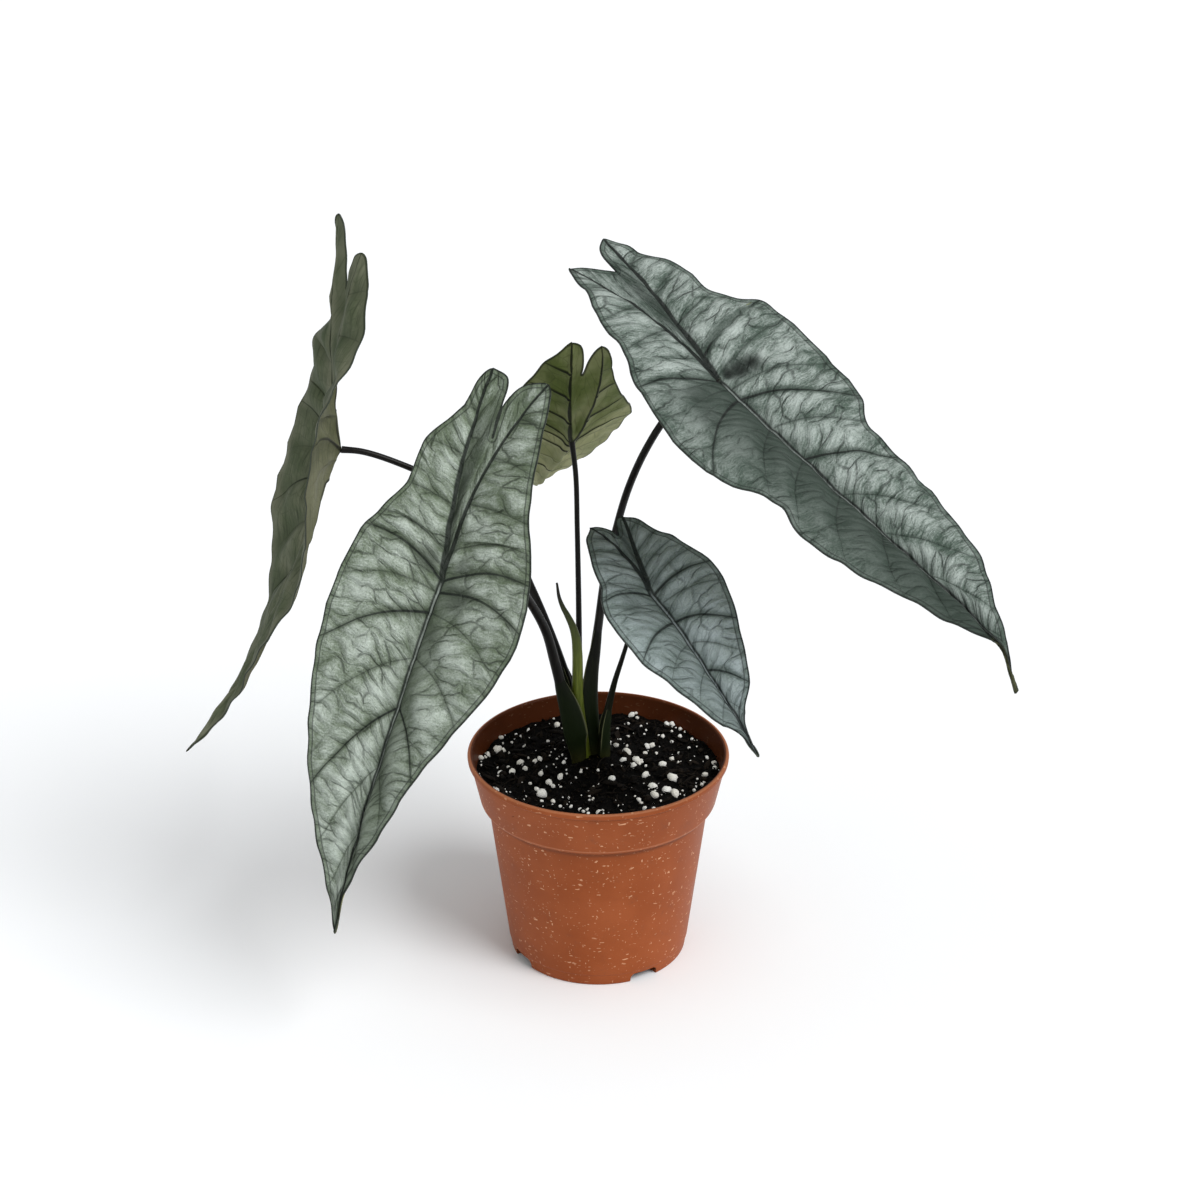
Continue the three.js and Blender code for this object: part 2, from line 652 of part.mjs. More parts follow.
// Stalks hug each other at the crown, each cut back from the ones before it
const stems = [...Object.entries(STALKS).map(([name, stalk]) => [`stalk_${name}`, stalk, LEAVES[name]]),
  ['new_leaf_spear', SPEAR, null]];
let corm = cormBody();
const rooms = [];
for (const [name, stalk, leaf] of stems) {
  let solid = tube(stalk.points, 0);
  for (const room of rooms) {
    solid = solid.subtract(room);
  }
  if (leaf) {
    solid = solid.subtract(bladeRoom(leaf));
  }
  const room = tube(stalk.points, GAP);
  corm = corm.subtract(room);
  rooms.push(room);
  add(name, new THREE.Mesh(geometryOf(largest(solid)), material(stalk.colour, 0.45)));
}
add('pot', potMesh());
add('potting_mix', soilMesh(rooms));
add('corm', new THREE.Mesh(geometryOf(largest(corm)), material(COLOUR.corm, 0.9)));
for (const [name, leaf] of Object.entries(LEAVES)) {
  add(`blade_${name}`, bladeMesh(leaf));
}

export default plant;
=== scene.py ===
"""A potted alocasia: fine blades, stalks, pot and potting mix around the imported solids.

Every length in the tables is in millimetres, in the part's own frame: the pot's axis is Z, the
floor is at zero, and the viewer of the plant's front looks along +Y.
"""
import functools
import math
import random

import bpy
import numpy as np
from mathutils import Euler, Matrix, Vector
from mathutils import noise as lattice


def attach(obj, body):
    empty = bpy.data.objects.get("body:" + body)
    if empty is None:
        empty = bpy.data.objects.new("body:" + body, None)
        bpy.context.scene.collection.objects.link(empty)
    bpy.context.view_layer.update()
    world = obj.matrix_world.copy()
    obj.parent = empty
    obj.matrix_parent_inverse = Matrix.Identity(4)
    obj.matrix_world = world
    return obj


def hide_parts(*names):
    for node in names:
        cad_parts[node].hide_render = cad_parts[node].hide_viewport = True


MM = 0.001

# The pot, a thin moulding with a deep rim band
POT_HEIGHT = 100.6
RIM_RADIUS = 60.0
RIM_BAND = 23.0
LIP_HEIGHT = 3.2
LIP_WALL = 2.3
LIP_STEP = 1.3
BODY_TOP_RADIUS = 50.8
BAND_FOOT_RADIUS = 54.5
FOOT_RADIUS = 41.0
WALL = 1.3
BASE_THICKNESS = 1.6
FOOT_RING_HEIGHT = 5.4
NOTCH = {"count": 4, "first": -59, "width": 14, "height": 4.4, "depth": 6, "outside": 3}
POT_SEGMENTS = 160

# The potting mix and the crown of the plant in it
MIX_LEVEL = 90.5
MIX_RADIUS = 55.8
MIX_MOUND = {"height": 2.6, "spread": 17}
CROWN_HEAP = {"x": 1.0, "y": -1.5, "height": 3.2, "spread": 7}
MIX_RINGS = 64
MIX_SEGMENTS = 208
CROWN = {"x": -3.5, "y": 7.0, "radius": 8.4, "foot": 71.5, "height": 22, "shoulder": 86}
HUSKS = {"count": 7, "apart": 51, "foot": 88, "thickness": 0.5}

# Larger perlite grains, [x, y, radius], where they lie on the mix
PERLITE_GRAINS = [
    [-47, 15.6, 2.3], [-51, 12.6, 1.4], [-44.3, 15.6, 1.4], [-54.5, 9.7, 1.4], [-45.7, 30, 1],
    [-36, 4.9, 1.8], [-27, 5.9, 1.4], [-29.2, 4, 1.1], [-33.6, -1.8, 1.4], [-26.2, -7.4, 1.4],
    [-39.5, -4.6, 1.8], [-45, -3.6, 1.4], [-19.6, 42.3, 1.6], [-33, 36.3, 0.9], [-45.8, -20.5, 1.4],
    [-22.4, -15, 1.8], [-17.4, -11.2, 1.4], [-25.4, -24.2, 2.7], [-27.8, -19.6, 1.4],
    [-20.5, -17.7, 1.1], [-15.8, 3, 1], [5.5, 22.4, 1.1], [8.3, 19.5, 1.4], [13.3, 10.7, 2.3],
    [11.4, 4, 1.4], [17.4, 5.9, 1.8], [16.4, 0.1, 1.6], [18.8, 3, 1.4], [21.4, -8.4, 1.8],
    [34.1, -10.2, 2.3], [34.9, 41.3, 1.6], [32.6, 42.3, 1.4], [38.7, 38.5, 1.1], [38.4, 30.3, 1.1],
    [30.4, 30.3, 1.1], [25.1, 21.4, 1.6], [22.7, 19.5, 1.4], [21.7, 12.6, 1.1], [6.3, -13.1, 1.6],
    [24.8, -18.6, 2], [25.6, -25.1, 1.8], [31.2, -19.6, 2.3], [34.7, -24.2, 2], [29.8, 1.1, 1.6],
    [34.1, 7.8, 1.1], [50.3, 9.7, 0.9], [53.4, 5.9, 1.1], [53.6, 0.1, 1.1], [48.8, -6.5, 1.4],
    [16, 51.5, 1.4], [18, 53, 0.9], [18.5, 48.6, 0.9], [0.8, -42.3, 1.8], [-8.1, -36.9, 1.1],
    [-4.5, -42.3, 0.9], [20.9, -36, 1.1], [24.9, -37.8, 1.1], [18.3, -29.7, 1.1], [-2.4, -28.7, 0.9],
    [-17.1, -34.2, 0.9], [-20.3, -31.5, 1.1], [-12.2, -35.1, 0.9], [-37.9, -27.8, 0.9],
    [47.2, -15.8, 1.1], [43.4, -20.5, 0.9], [-7.9, -7.4, 0.8], [-0.1, -8.4, 0.8], [9.3, 37.3, 0.7],
    [14, 29.3, 0.8], [22.5, 37.3, 0.7], [34.5, 25.4, 0.8], [44, 29.3, 0.8], [-23.6, 25.4, 0.8],
    [-34.7, 22.4, 0.8], [-40.4, 23.4, 0.7],
]
LITTER_RADIUS = 55.5
SMALL_GRAINS = 210
BARK_CHIPS = 520
MIX_CRUMBS = 900
ROOT_HAIRS = 46

# The blades in general: their thickness and ridges, their swell between the veins, and the mesh
BLADE_THICKNESS = 0.8
MIDRIB_KEEL = 1.2
VEIN_KEEL = 0.4
THICKNESS_STEPS = 40
CROSS_BULGE = 0.3
QUILTING = 0.13
WIDEST_QUILT = 22
FULL_QUILT_CHORD = 25
VEIN_BOW = 0.1
LOBE_VEIN_BOW = 0.3
LOBE_VEINS_FROM = -15
MARGIN_RIPPLE = 0.45
PUCKERS = ((15, 1.1), (6.5, 0.5))
NOTCH_ROW = 2
ROW_SPACING = 1.5
COLUMNS = 34
INNER_COLUMNS = 10
FAR_FROM_VEIN = 20.0
# How many millimetres one unit of each of a blade's two maps stands for
FLAT_MAP = 300.0
FLOW_MAP = 100.0

# The blades, each as it lies flat: its joint with the stalk is at zero and its tip along +Y. at,
# heading, pitch and roll place it. bend_tip, bend_lobes and twist curl it, in degrees per 100 mm,
# and fold raises its margins where they have no rise of their own. midrib is a line of
# [across, along] or [across, along, rise]. A row follows each lateral vein from the ribs to the
# margin: from gives where it leaves them, and right and left where it meets the margin. notch is
# the foot of the gap between the lobes, sinus leads to it from each lobe's tip, and lobe_rib is the
# middle of each lobe's rib. blunt rounds the tips of the lobes, outside and inside, each
# [outwards, up]. gutter shifts the strip between the lobe ribs, [across, up]. keel scales the
# midrib's ridge, and drip narrows the drip tip. dim paints shade on a half beside the midrib as a
# darker green, [strength, reach, strength between the lobe ribs]. strong lists the rows whose
# veins stand out, and folds the sunken places about the joint, which also get painted shade,
# [across, along, radius, depth].
LEAVES = {
    "front_left": {
        "at": [-66, -56, 212], "heading": -129, "pitch": -54, "roll": -9,
        "bend_tip": 9.5, "bend_lobes": 0, "twist": 0, "fold": 0.185,
        "midrib": [[0, 0], [-2, 60], [-3, 120], [-5, 156]],
        "from": [-94, -74, -54, -32, -12, 0, 5, 14, 34, 56, 82, 110, 156],
        "right": [[14, -93], [20, -74], [30, -55], [31, -35], [37, -20], [41, -12], [44, 12],
                  [42, 40], [35, 70], [25, 100], [14, 122], [4, 140], [-5, 156]],
        "left": [[-14, -93.5], [-20, -75], [-25, -54], [-32, -34], [-39, -22], [-44, -10], [-49, 10],
                 [-45.5, 32], [-35, 56], [-22, 84], [-13, 112], [-6, 133], [-5, 156]],
        "notch": [3, -65],
        "lobe_rib": {"right": [11, -47], "left": [0, -50]},
        "sinus": {"right": [[8, -91], [5, -79]], "left": [[-5, -88], [1, -79]]},
        "blunt": {"right": [[2.4, 0], [1.8, 0]], "left": [[1.8, 0], [3.5, 0]]},
        "gutter": [2.6, 0],
        "keel": 1,
        "drip": 0.15,
        "dim": {"right": [0.35, 5, 0.62], "left": [0.75, 11, 0.1]},
        "strong": {"right": [5, 7, 9], "left": [5, 6, 9]},
        "folds": [[9, -7, 6, 0.7], [-11, 5, 7, 0.9], [-9, -8, 5, 0.6], [-8, 22, 6, 0.5],
                  [3, -16, 5, 0.7]],
        "slot": "blade_sage",
    },
    "right": {
        "at": [52, -21, 288], "heading": -42, "pitch": -28, "roll": 8,
        "bend_tip": 0, "bend_lobes": 12, "twist": 0, "fold": 0.19,
        "midrib": [[0, 0], [-1, 60], [-3, 140], [-2, 165], [10, 184]],
        "from": [-90, -70, -52, -34, -14, 0, 5, 11, 30, 50, 72, 96, 122, 150, 184],
        "right": [[8, -87], [14, -72], [25, -51], [30, -32], [38, -20], [42, -12], [50, 18],
                  [49, 41], [33, 61], [36, 82], [30, 103], [18, 126], [7, 147], [-1.8, 163],
                  [10, 184]],
        "left": [[-18, -93], [-23.5, -77], [-31, -59], [-31, -38], [-43, -22], [-45.7, -8],
                 [-45, 21], [-42.7, 41], [-35.6, 52], [-34, 73.5], [-30.5, 107], [-25, 132],
                 [-13, 152], [-5.7, 165], [10, 184]],
        "notch": [-8, -75],
        "lobe_rib": {"right": [0, -46], "left": [-10, -47]},
        "sinus": {"right": [[2, -85], [-3, -81]], "left": [[-13, -88], [-10, -80]]},
        "blunt": {"right": [[1.6, 0], [-0.6, 0]], "left": [[1.8, 0], [1.8, 0]]},
        "gutter": [0, 0],
        "keel": 1,
        "drip": 0.3,
        "dim": {"right": [0.95, 38, 0.2], "left": [0.35, 5, 0.45]},
        "strong": {"right": [5, 7], "left": [4, 7, 9]},
        "folds": [[-7, -2, 3.6, 1.5], [-11.5, -1, 4.8, 1.8], [-17, 0.4, 4.2, 1.6], [19, 2, 7, 0.5],
                  [24, 14, 7, 0.5]],
        "slot": "blade_silver_green",
    },
    "small_front": {
        "at": [22, -37, 199], "heading": -57, "pitch": -23, "roll": 7,
        "bend_tip": 22, "bend_lobes": 23, "twist": 0, "fold": 0.26,
        "midrib": [[0, 0], [-1, 40], [-2, 70], [-2.5, 90]],
        "from": [-44, -33, -22, -11, 0, 3, 9, 20, 32, 46, 62, 90],
        "right": [[3, -45], [10, -37], [14, -28], [18, -19], [21, -7], [26, 2], [29, 13],
                  [26, 36], [19, 49], [12, 63], [6, 73], [-2.5, 90]],
        "left": [[-12, -43], [-16, -36], [-19, -27], [-23, -17], [-26, -8], [-29, 2], [-28.6, 13.5],
                 [-24.2, 32], [-19, 47], [-14, 60], [-6, 71], [-2.5, 90]],
        "notch": [-5, -35],
        "lobe_rib": {"right": [-1, -23], "left": [-6, -21]},
        "sinus": {"right": [[0, -44], [-4, -39]], "left": [[-9, -43], [-7, -40]]},
        "blunt": {"right": [[0, 0], [0, 0]], "left": [[0, 0], [0, 0]]},
        "gutter": [-0.4, 0],
        "keel": 1,
        "drip": 0.5,
        "dim": {"right": [0.5, 26, 0.2], "left": [0.4, 6, 0.5]},
        "strong": {"right": [5, 7], "left": [5, 7, 9]},
        "folds": [[-4, -2, 3, 0.5], [13, 7, 5, 0.5]],
        "slot": "blade_blue_grey",
    },
    "far_left": {
        "at": [-115, 16, 243], "heading": -149.5, "pitch": -74.5, "roll": 18,
        "bend_tip": -18, "bend_lobes": -14, "twist": 5.5, "fold": 0.3,
        "midrib": [[0, 0], [0, 25, 3], [0, 52, 1.2], [0, 80, 0], [0, 158, -0.5]],
        "from": [-96, -76, -56, -36, -16, 0, 5, 14, 34, 56, 82, 110, 158],
        "right": [[11, -104, 4.5], [21, -80, 1.4], [29, -52, 4.5], [33, -43, 10.2], [35, -22, 9.9],
                  [37, -10, 13.3], [39, 15.8, 14.8], [38, 42, 15.4], [33, 66, 7.6], [28, 87, 2.4],
                  [16, 118, -1.2], [8, 138, -1.5], [0, 158, -0.5]],
        "left": [[-10.5, -91, 0.6], [-22, -77, 0.4], [-29, -56, 3.4], [-33, -36, 12], [-35, -22, 17],
                 [-37, -10, 18], [-39, 12, 16], [-38, 38, 9], [-33, 66, 3.6], [-26, 94, 4.6],
                 [-16, 118, 1.2], [-8, 138, -0.8], [0, 158, -0.5]],
        "notch": [0, -73, 4.5],
        "lobe_rib": {"right": [7, -50, 7], "left": [-7, -46, 8]},
        "sinus": {"right": [[6, -99], [3, -86]], "left": [[-7.5, -88.5], [-3, -81]]},
        "blunt": {"right": [[1.5, 2], [1.5, 0.8]], "left": [[2, -1.6], [1.5, -0.6]]},
        "gutter": [0, 4.5],
        "keel": 0.3,
        "drip": 0.2,
        "dim": {"right": [0.3, 8, 0.3], "left": [0.3, 8, 0.3]},
        "strong": {"right": [5, 7, 9], "left": [5, 7, 9]},
        "folds": [],
        "slot": "blade_dark_olive",
    },
    "rear": {
        "at": [-12, 34, 241], "heading": 104, "pitch": -44, "roll": 1,
        "bend_tip": -19, "bend_lobes": -44, "twist": 2, "fold": 0.48,
        "midrib": [[0, 0], [-3, 50], [0, 97]],
        "from": [-64, -48, -33, -16, 0, 4, 10, 26, 40, 56, 74, 97],
        "right": [[6, -63], [13, -46], [17, -33], [24, -14], [29, -1], [32, 12], [30, 22],
                  [27, 40], [21, 56], [15, 70], [8, 83], [0, 97]],
        "left": [[-7, -66], [-17, -51], [-22.5, -36], [-27.5, -21], [-31, -6], [-31, 8], [-28, 20],
                 [-26, 38], [-20, 55], [-14, 70], [-8, 84], [0, 97]],
        "notch": [-2, -50],
        "lobe_rib": {"right": [5, -34], "left": [-5, -34]},
        "sinus": {"right": [[3, -61], [0, -56]], "left": [[-5, -64], [-3, -57]]},
        "blunt": {"right": [[2.4, 0], [0, 0]], "left": [[0.5, 0], [2.2, 0]]},
        "gutter": [0, 0],
        "keel": 1,
        "drip": 0.2,
        "dim": {"right": [0.3, 8, 0.3], "left": [0.3, 8, 0.3]},
        "strong": {"right": [2, 3, 5], "left": [1, 2, 3, 4, 5, 6, 8]},
        "folds": [],
        "slot": "blade_olive",
    },
}

# Stalks from the crown to their blades, [x, y, z, radius]
STALKS = {
    "front_left": [[-8, 4.5, 82, 2.4], [-9.2, 4.5, 95, 2.9], [-12.1, 4.5, 106, 3],
                   [-14.8, 4, 122, 2.8], [-17.4, 2, 135, 2.5], [-19.9, 0, 147, 2.3],
                   [-23, -4, 162, 2.1], [-27.7, -10, 176, 2], [-34, -18, 190, 1.9],
                   [-43, -29, 202, 1.9], [-55, -43, 210, 1.9], [-66, -56, 212, 1.9]],
    "far_left": [[-8.6, 10.8, 82, 2.5], [-9, 10.8, 95, 3.1], [-10.8, 11, 110, 2.9],
                 [-13.6, 12.5, 126, 2.6], [-18.2, 14, 142, 2.3], [-23.6, 15, 158, 2.1],
                 [-29.8, 16.5, 174, 1.9], [-38, 17.5, 193, 1.7], [-51, 18, 211, 1.6],
                 [-68, 17, 225.6, 1.5], [-89, 16, 236.6, 1.4], [-104, 16, 241.8, 1.4],
                 [-115, 16, 243, 1.4]],
    "right": [[-2, 9.5, 82, 2.5], [-2, 9.5, 95, 3.2], [-3, 9.8, 107, 3.2], [-3.6, 10, 122, 2.9],
              [-2.8, 10.5, 137, 2.5], [-1.5, 11, 147, 2.2], [0.3, 11.5, 161, 2], [3, 12, 183, 1.8],
              [7, 12, 202, 1.7], [13, 9.5, 226, 1.7], [21, 4, 248, 1.7], [31, -4, 268, 1.7],
              [42, -13, 282, 1.7], [52, -21, 288, 1.7]],
    "small_front": [[2, 4.5, 82, 2], [2.4, 4.5, 97, 2.6], [3.3, 4, 113, 2], [5.4, 3, 125, 1.6],
                    [7.6, 1, 136, 1.3], [10.3, -2, 147, 1.1], [12.3, -5.5, 156, 1],
                    [15.5, -15, 173, 1], [19, -26, 188, 1], [22, -37, 199, 1]],
    "rear": [[-4, 14.5, 82, 1.9], [-4.8, 15, 93, 2.4], [-6.6, 17, 109, 2], [-8.4, 19, 124, 1.7],
             [-8.8, 21, 138, 1.5], [-8.9, 24, 160, 1.35], [-9.5, 29, 199, 1.2],
             [-10.1, 32, 224, 1.2], [-12, 34, 241, 1.2]],
}
STALK_SLOT = {"small_front": "stalk_green"}
# How much wider a stalk is at its blade, as a share of its width, and how far down it swells
STALK_END = {"swell": 0.22, "reach": 3.5}
SPEAR = [[-5.4, 5.5, 82, 1.8], [-6, 5.5, 94, 2.3], [-7.2, 5.8, 106, 2.4], [-8.6, 6, 118, 2.4],
         [-9.4, 6, 128, 2.3], [-9.3, 6, 137, 2.2], [-9.3, 6, 144.5, 2.1], [-9.5, 6, 150, 2],
         [-10.1, 6, 155.6, 1.75], [-11.5, 6, 161, 1.45], [-13.9, 6, 166.6, 1.1],
         [-15.8, 6, 170.4, 0.85], [-17.5, 6, 175.4, 0.55], [-18.5, 6, 182.5, 0.2]]
# How the new leaf is rolled, in degrees: where the roll starts, its slant and how far it goes round
SPEAR_ROLL = {"start": 300, "slant": 50, "sweep": 420}
SPEAR_GIRTH = 18
SPEAR_THICKNESS = 0.3
SPEAR_COLUMNS = 40

# The sheath at the foot of each stalk. opens is the side on which it parts, in degrees from -X
# towards +Y, and gap how far it is open to either side of that. reach is how far its free edges
# stand out at each height, [z, reach].
SHEATHS = {
    "front_left": {"opens": 150, "gap": 46,
                   "reach": [[84, 0], [93, 0], [99, 1.6], [107, 4.8], [112, 4.8], [118, 4.2],
                             [125, 2.8], [131, 1.3], [137, 0]]},
    "far_left": {"opens": 195, "gap": 50,
                 "reach": [[84, 0], [92, 0.4], [100, 2.2], [118, 2], [138, 0]]},
    "right": {"opens": 10, "gap": 55,
              "reach": [[84, 0], [92, 0.4], [100, 1.6], [118, 3], [132, 2.6], [144, 1.4],
                        [158, 0]]},
    "small_front": {"opens": 350, "gap": 60,
                    "reach": [[84, 0], [92, 0.4], [98, 1.8], [110, 1.6], [121, 0.2]]},
    "rear": {"opens": 280, "gap": 60, "reach": [[84, 0], [92, 0.3], [98, 1], [116, 0]]},
}
# A sheath's clearance from its stalk, how far its top dips back into it, and the degrees beside a
# free edge that stand out
SHEATH_LIFT = 0.35
SHEATH_DIP = 0.75
SHEATH_FLARE = 75
SHEATH_THICKNESS = 0.45
SHEATH_GIRTH = 22
SHEATH_COLUMNS = 44

# The studio: the floor's width in metres, and each light's direction, breadth in degrees and power
FLOOR_SIZE = 16
WORLD_LIGHT = 0.5
KEY_LIGHT = {"from": (0.72, -0.56, 1.05), "breadth": 34, "power": 2.5}
FILL_LIGHT = {"from": (-0.9, -0.6, 1.0), "breadth": 60, "power": 0.2}

# The camera, which sees the plant as the photograph does. It looks down by this many degrees
CAMERA = {"place": [0.8, -1084.9, 690.0], "down": 25.31, "lens": 80.64}


# Colours and shader nodes

SMOOTH = {"interpolation_type": "SMOOTHSTEP"}
TIMES = {"operation": "MULTIPLY"}
NET = {"feature": "DISTANCE_TO_EDGE", "voronoi_dimensions": "2D"}


def colour(code):
    """An sRGB hex colour, as the linear colour that a socket takes."""
    parts = [int(code[i:i + 2], 16) / 255 for i in (1, 3, 5)]
    linear = [p / 12.92 if p <= 0.04045 else ((p + 0.055) / 1.055) ** 2.4 for p in parts]
    return (*linear, 1.0)


def add_node(tree, kind, inputs=(), output=0, **settings):
    """Adds a shader node and gives one of its outputs. inputs holds values and outputs of other
    nodes, in the order of the node's sockets or under their names or numbers."""
    made = tree.nodes.new(f"ShaderNode{kind}")
    for key, value in settings.items():
        setattr(made, key, value)
    for key, value in inputs.items() if isinstance(inputs, dict) else enumerate(inputs):
        if isinstance(value, bpy.types.NodeSocket):
            tree.links.new(value, made.inputs[key])
        else:
            made.inputs[key].default_value = value
    return made.outputs[output]


def lumps(place, spacing, detail=3.0, roughness=0.55, unit=1 / MM):
    """The sockets of a soft noise whose lumps are about spacing millimetres apart. unit is how
    many millimetres one unit of the coordinates stands for."""
    return {"Vector": place, "Scale": unit / spacing, "Detail": detail, "Roughness": roughness}


def painted(add, base, *layers):
    """A base colour with others laid over it, each given as its share and its colour."""
    tone = colour(base) if isinstance(base, str) else base
    for share, code in layers:
        tone = add("Mix", {0: share, 6: tone, 7: colour(code)}, 2, data_type="RGBA")
    return tone


def strongest(add, *values):
    """The largest of several values."""
    most = values[0]
    for value in values[1:]:
        most = add("Math", (most, value), operation="MAXIMUM")
    return most


def weighted(add, *parts):
    """The sum of several values, each given with its weight."""
    total = 0.0
    for value, weight in parts:
        total = add("Math", (value, weight, total), operation="MULTIPLY_ADD")
    return total


def new_material(name, roughness, specular=0.25):
    """A material, its shader with its plain numbers set, and the function that adds nodes to it."""
    made = bpy.data.materials.new(name)
    made.use_nodes = True
    shader = made.node_tree.nodes["Principled BSDF"]
    shader.inputs["Roughness"].default_value = roughness
    shader.inputs["Specular IOR Level"].default_value = specular
    return made, shader, functools.partial(add_node, made.node_tree)


def finish_surface(made, shader, tone, height=None, strength=0.0, depth=0.0):
    """Gives a material its colour, and a fine relief that is up to depth millimetres deep."""
    made.node_tree.links.new(tone, shader.inputs["Base Color"])
    if height is not None:
        bump = {"Height": height, "Strength": strength, "Distance": depth * MM}
        relief = add_node(made.node_tree, "Bump", bump)
        made.node_tree.links.new(relief, shader.inputs["Normal"])
    return made


# Materials


def leaf_skin(name, silver, green, shade, lift=0.0, broken=1.0, rise=0.0):
    """Waxy upper skin of an alocasia leaf: pale, air-filled cells lie over deep green in fine
    streaks, so it has a broken silver sheen, with dark sunken veins and ridges between them.
    lift makes more of it silver, rise does so towards the tip, and broken makes the streaks and
    ridges stronger."""
    made, shader, add = new_material(name, 0.42, 0.3)
    flow, flat = (add("UVMap", uv_map=layer) for layer in ("flow", "flat"))
    vein, rib, edge, hollow_shade, bold, dim, crest, past_joint = (
        add("Attribute", (), "Fac", attribute_name=key)
        for key in ("vein", "rib", "edge", "hollow_shade", "bold", "dim", "crest", "past_joint"))

    # Ridges and fine veins that run outwards between the lateral veins, and a finer net in them
    wander = add("TexNoise", {"Vector": flow, "Scale": 7.0, "Detail": 2.0}, "Color")
    moved = add("VectorMath", (wander, (0.07, 0.1, 0), flow), operation="MULTIPLY_ADD")
    nets = []
    for out, apart in ((15.0, 6.5), (3.0, 2.2)):
        scaled = add("Mapping", {"Vector": moved, "Scale": (FLOW_MAP / out, FLOW_MAP / apart, 1)})
        nets.append(add("TexVoronoi", {"Vector": scaled, "Scale": 1.0}, "Distance", **NET))
    whole = add("TexNoise", lumps(flat, 14.0, 3.0, 0.6, FLAT_MAP))
    whole = add("MapRange", (whole, 0.4, 0.6), **SMOOTH)
    rung = add("Math", (add("MapRange", (nets[0], 0.0, 0.07, 1.0, 0.0), **SMOOTH), whole), **TIMES)
    strong_threads = add("TexNoise", lumps(flat, 6.0, 3.0, 0.6, FLAT_MAP))
    threads = add("MapRange", (nets[1], 0.0, 0.12, 1.0, 0.0), **SMOOTH)
    threads = add("Math", (threads, strong_threads), **TIMES)
    pillow = add("MapRange", (nets[0], 0.0, 0.4), **SMOOTH)

    # Silver: streaks about a millimetre wide that run outwards, in patches about 16 mm across
    drawn = add("Mapping", {"Vector": moved, "Scale": (22, 110, 1)})
    streaks = add("TexNoise", {"Vector": drawn, "Scale": 1.0, "Detail": 5.0, "Roughness": 0.68})
    patches = add("TexNoise", lumps(flat, 16.0, 4.0, 0.6, FLAT_MAP))
    grain = add("TexNoise", lumps(flat, 0.8, 2.0, 0.7, FLAT_MAP))
    along = add("SeparateXYZ", {"Vector": flat}, "Y")
    # More silver on the tops of the panels between the veins: a painted highlight
    silvering = weighted(add, (crest, 0.22), (streaks, 1.5 * broken), (patches, 1.1), (grain, 0.6),
                         (pillow, 0.16), (along, rise))
    middle = 1.05 + 0.75 * broken + 0.5 * rise - lift
    reach = 0.65 - 0.33 * broken
    silvering = add("MapRange", (silvering, middle - reach, middle + reach), **SMOOTH)
    near_vein = add("MapRange", (vein, 0.8, 5.0, 0.7, 0.0), **SMOOTH)
    # Greener skin along the veins, and painted shade beside the midrib and in the folds
    vein_green_and_shade = strongest(add, add("Math", (near_vein, bold), **TIMES), dim, hollow_shade)
    bare_edge = add("MapRange", (edge, 1.6, 2.6, 0.6, 0.0), **SMOOTH)
    bright = weighted(add, (1.0, 1.0), (strongest(add, vein_green_and_shade, bare_edge), -1.0))
    silvering = add("Math", (silvering, bright), **TIMES)
    body = painted(add, green, (silvering, silver), (add("Math", (vein_green_and_shade, 0.6), **TIMES), shade))

    # Dark lines: net, laterals, both sides of the ribs, the margin and the vein just inside it
    clear = weighted(add, (1.0, 1.0), (dim, -0.5))
    net = strongest(add, weighted(add, (rung, 0.3 + 0.4 * broken)), weighted(add, (threads, 0.25)))
    vein_line = add("MapRange", (vein, 0.4, 1.05, 1.0, 0.0), **SMOOTH)
    inner_start = add("MapRange", (edge, 1.75, 2.15), **SMOOTH)
    inner_stop = add("MapRange", (edge, 2.3, 2.8, 0.7, 0.0), **SMOOTH)
    lines = strongest(
        add,
        add("Math", (net, clear), **TIMES),
        add("Math", (vein_line, bold), **TIMES),
        add("MapRange", (rib, 0.8, 1.5, 0.95, 0.0), **SMOOTH),
        add("MapRange", (edge, 0.45, 1.0, 0.95, 0.0), **SMOOTH),
        add("Math", (inner_start, inner_stop), **TIMES),
        # Painted shade, dark in the folds about the joint
        add("Math", (hollow_shade, 0.95), **TIMES))
    # A painted highlight: silver along the midrib's ridge past the joint
    keel = add("MapRange", (rib, 0.1, 0.6, 0.45, 0.0), **SMOOTH)
    keel = add("Math", (past_joint, keel), **TIMES)
    body = painted(add, body, (lines, shade), (keel, silver))
    dull = add("MapRange", (silvering, 0.0, 1.0, 0.5, 0.36), **SMOOTH)
    made.node_tree.links.new(dull, shader.inputs["Roughness"])

    relief = weighted(add, (pillow, 1.2), (rung, -0.7), (threads, -0.3), (grain, 0.35),
                      (streaks, 1.2 * broken), (patches, 1.6))
    return finish_surface(made, shader, body, add("Math", (relief, clear), **TIMES), 1.0, 1.0)


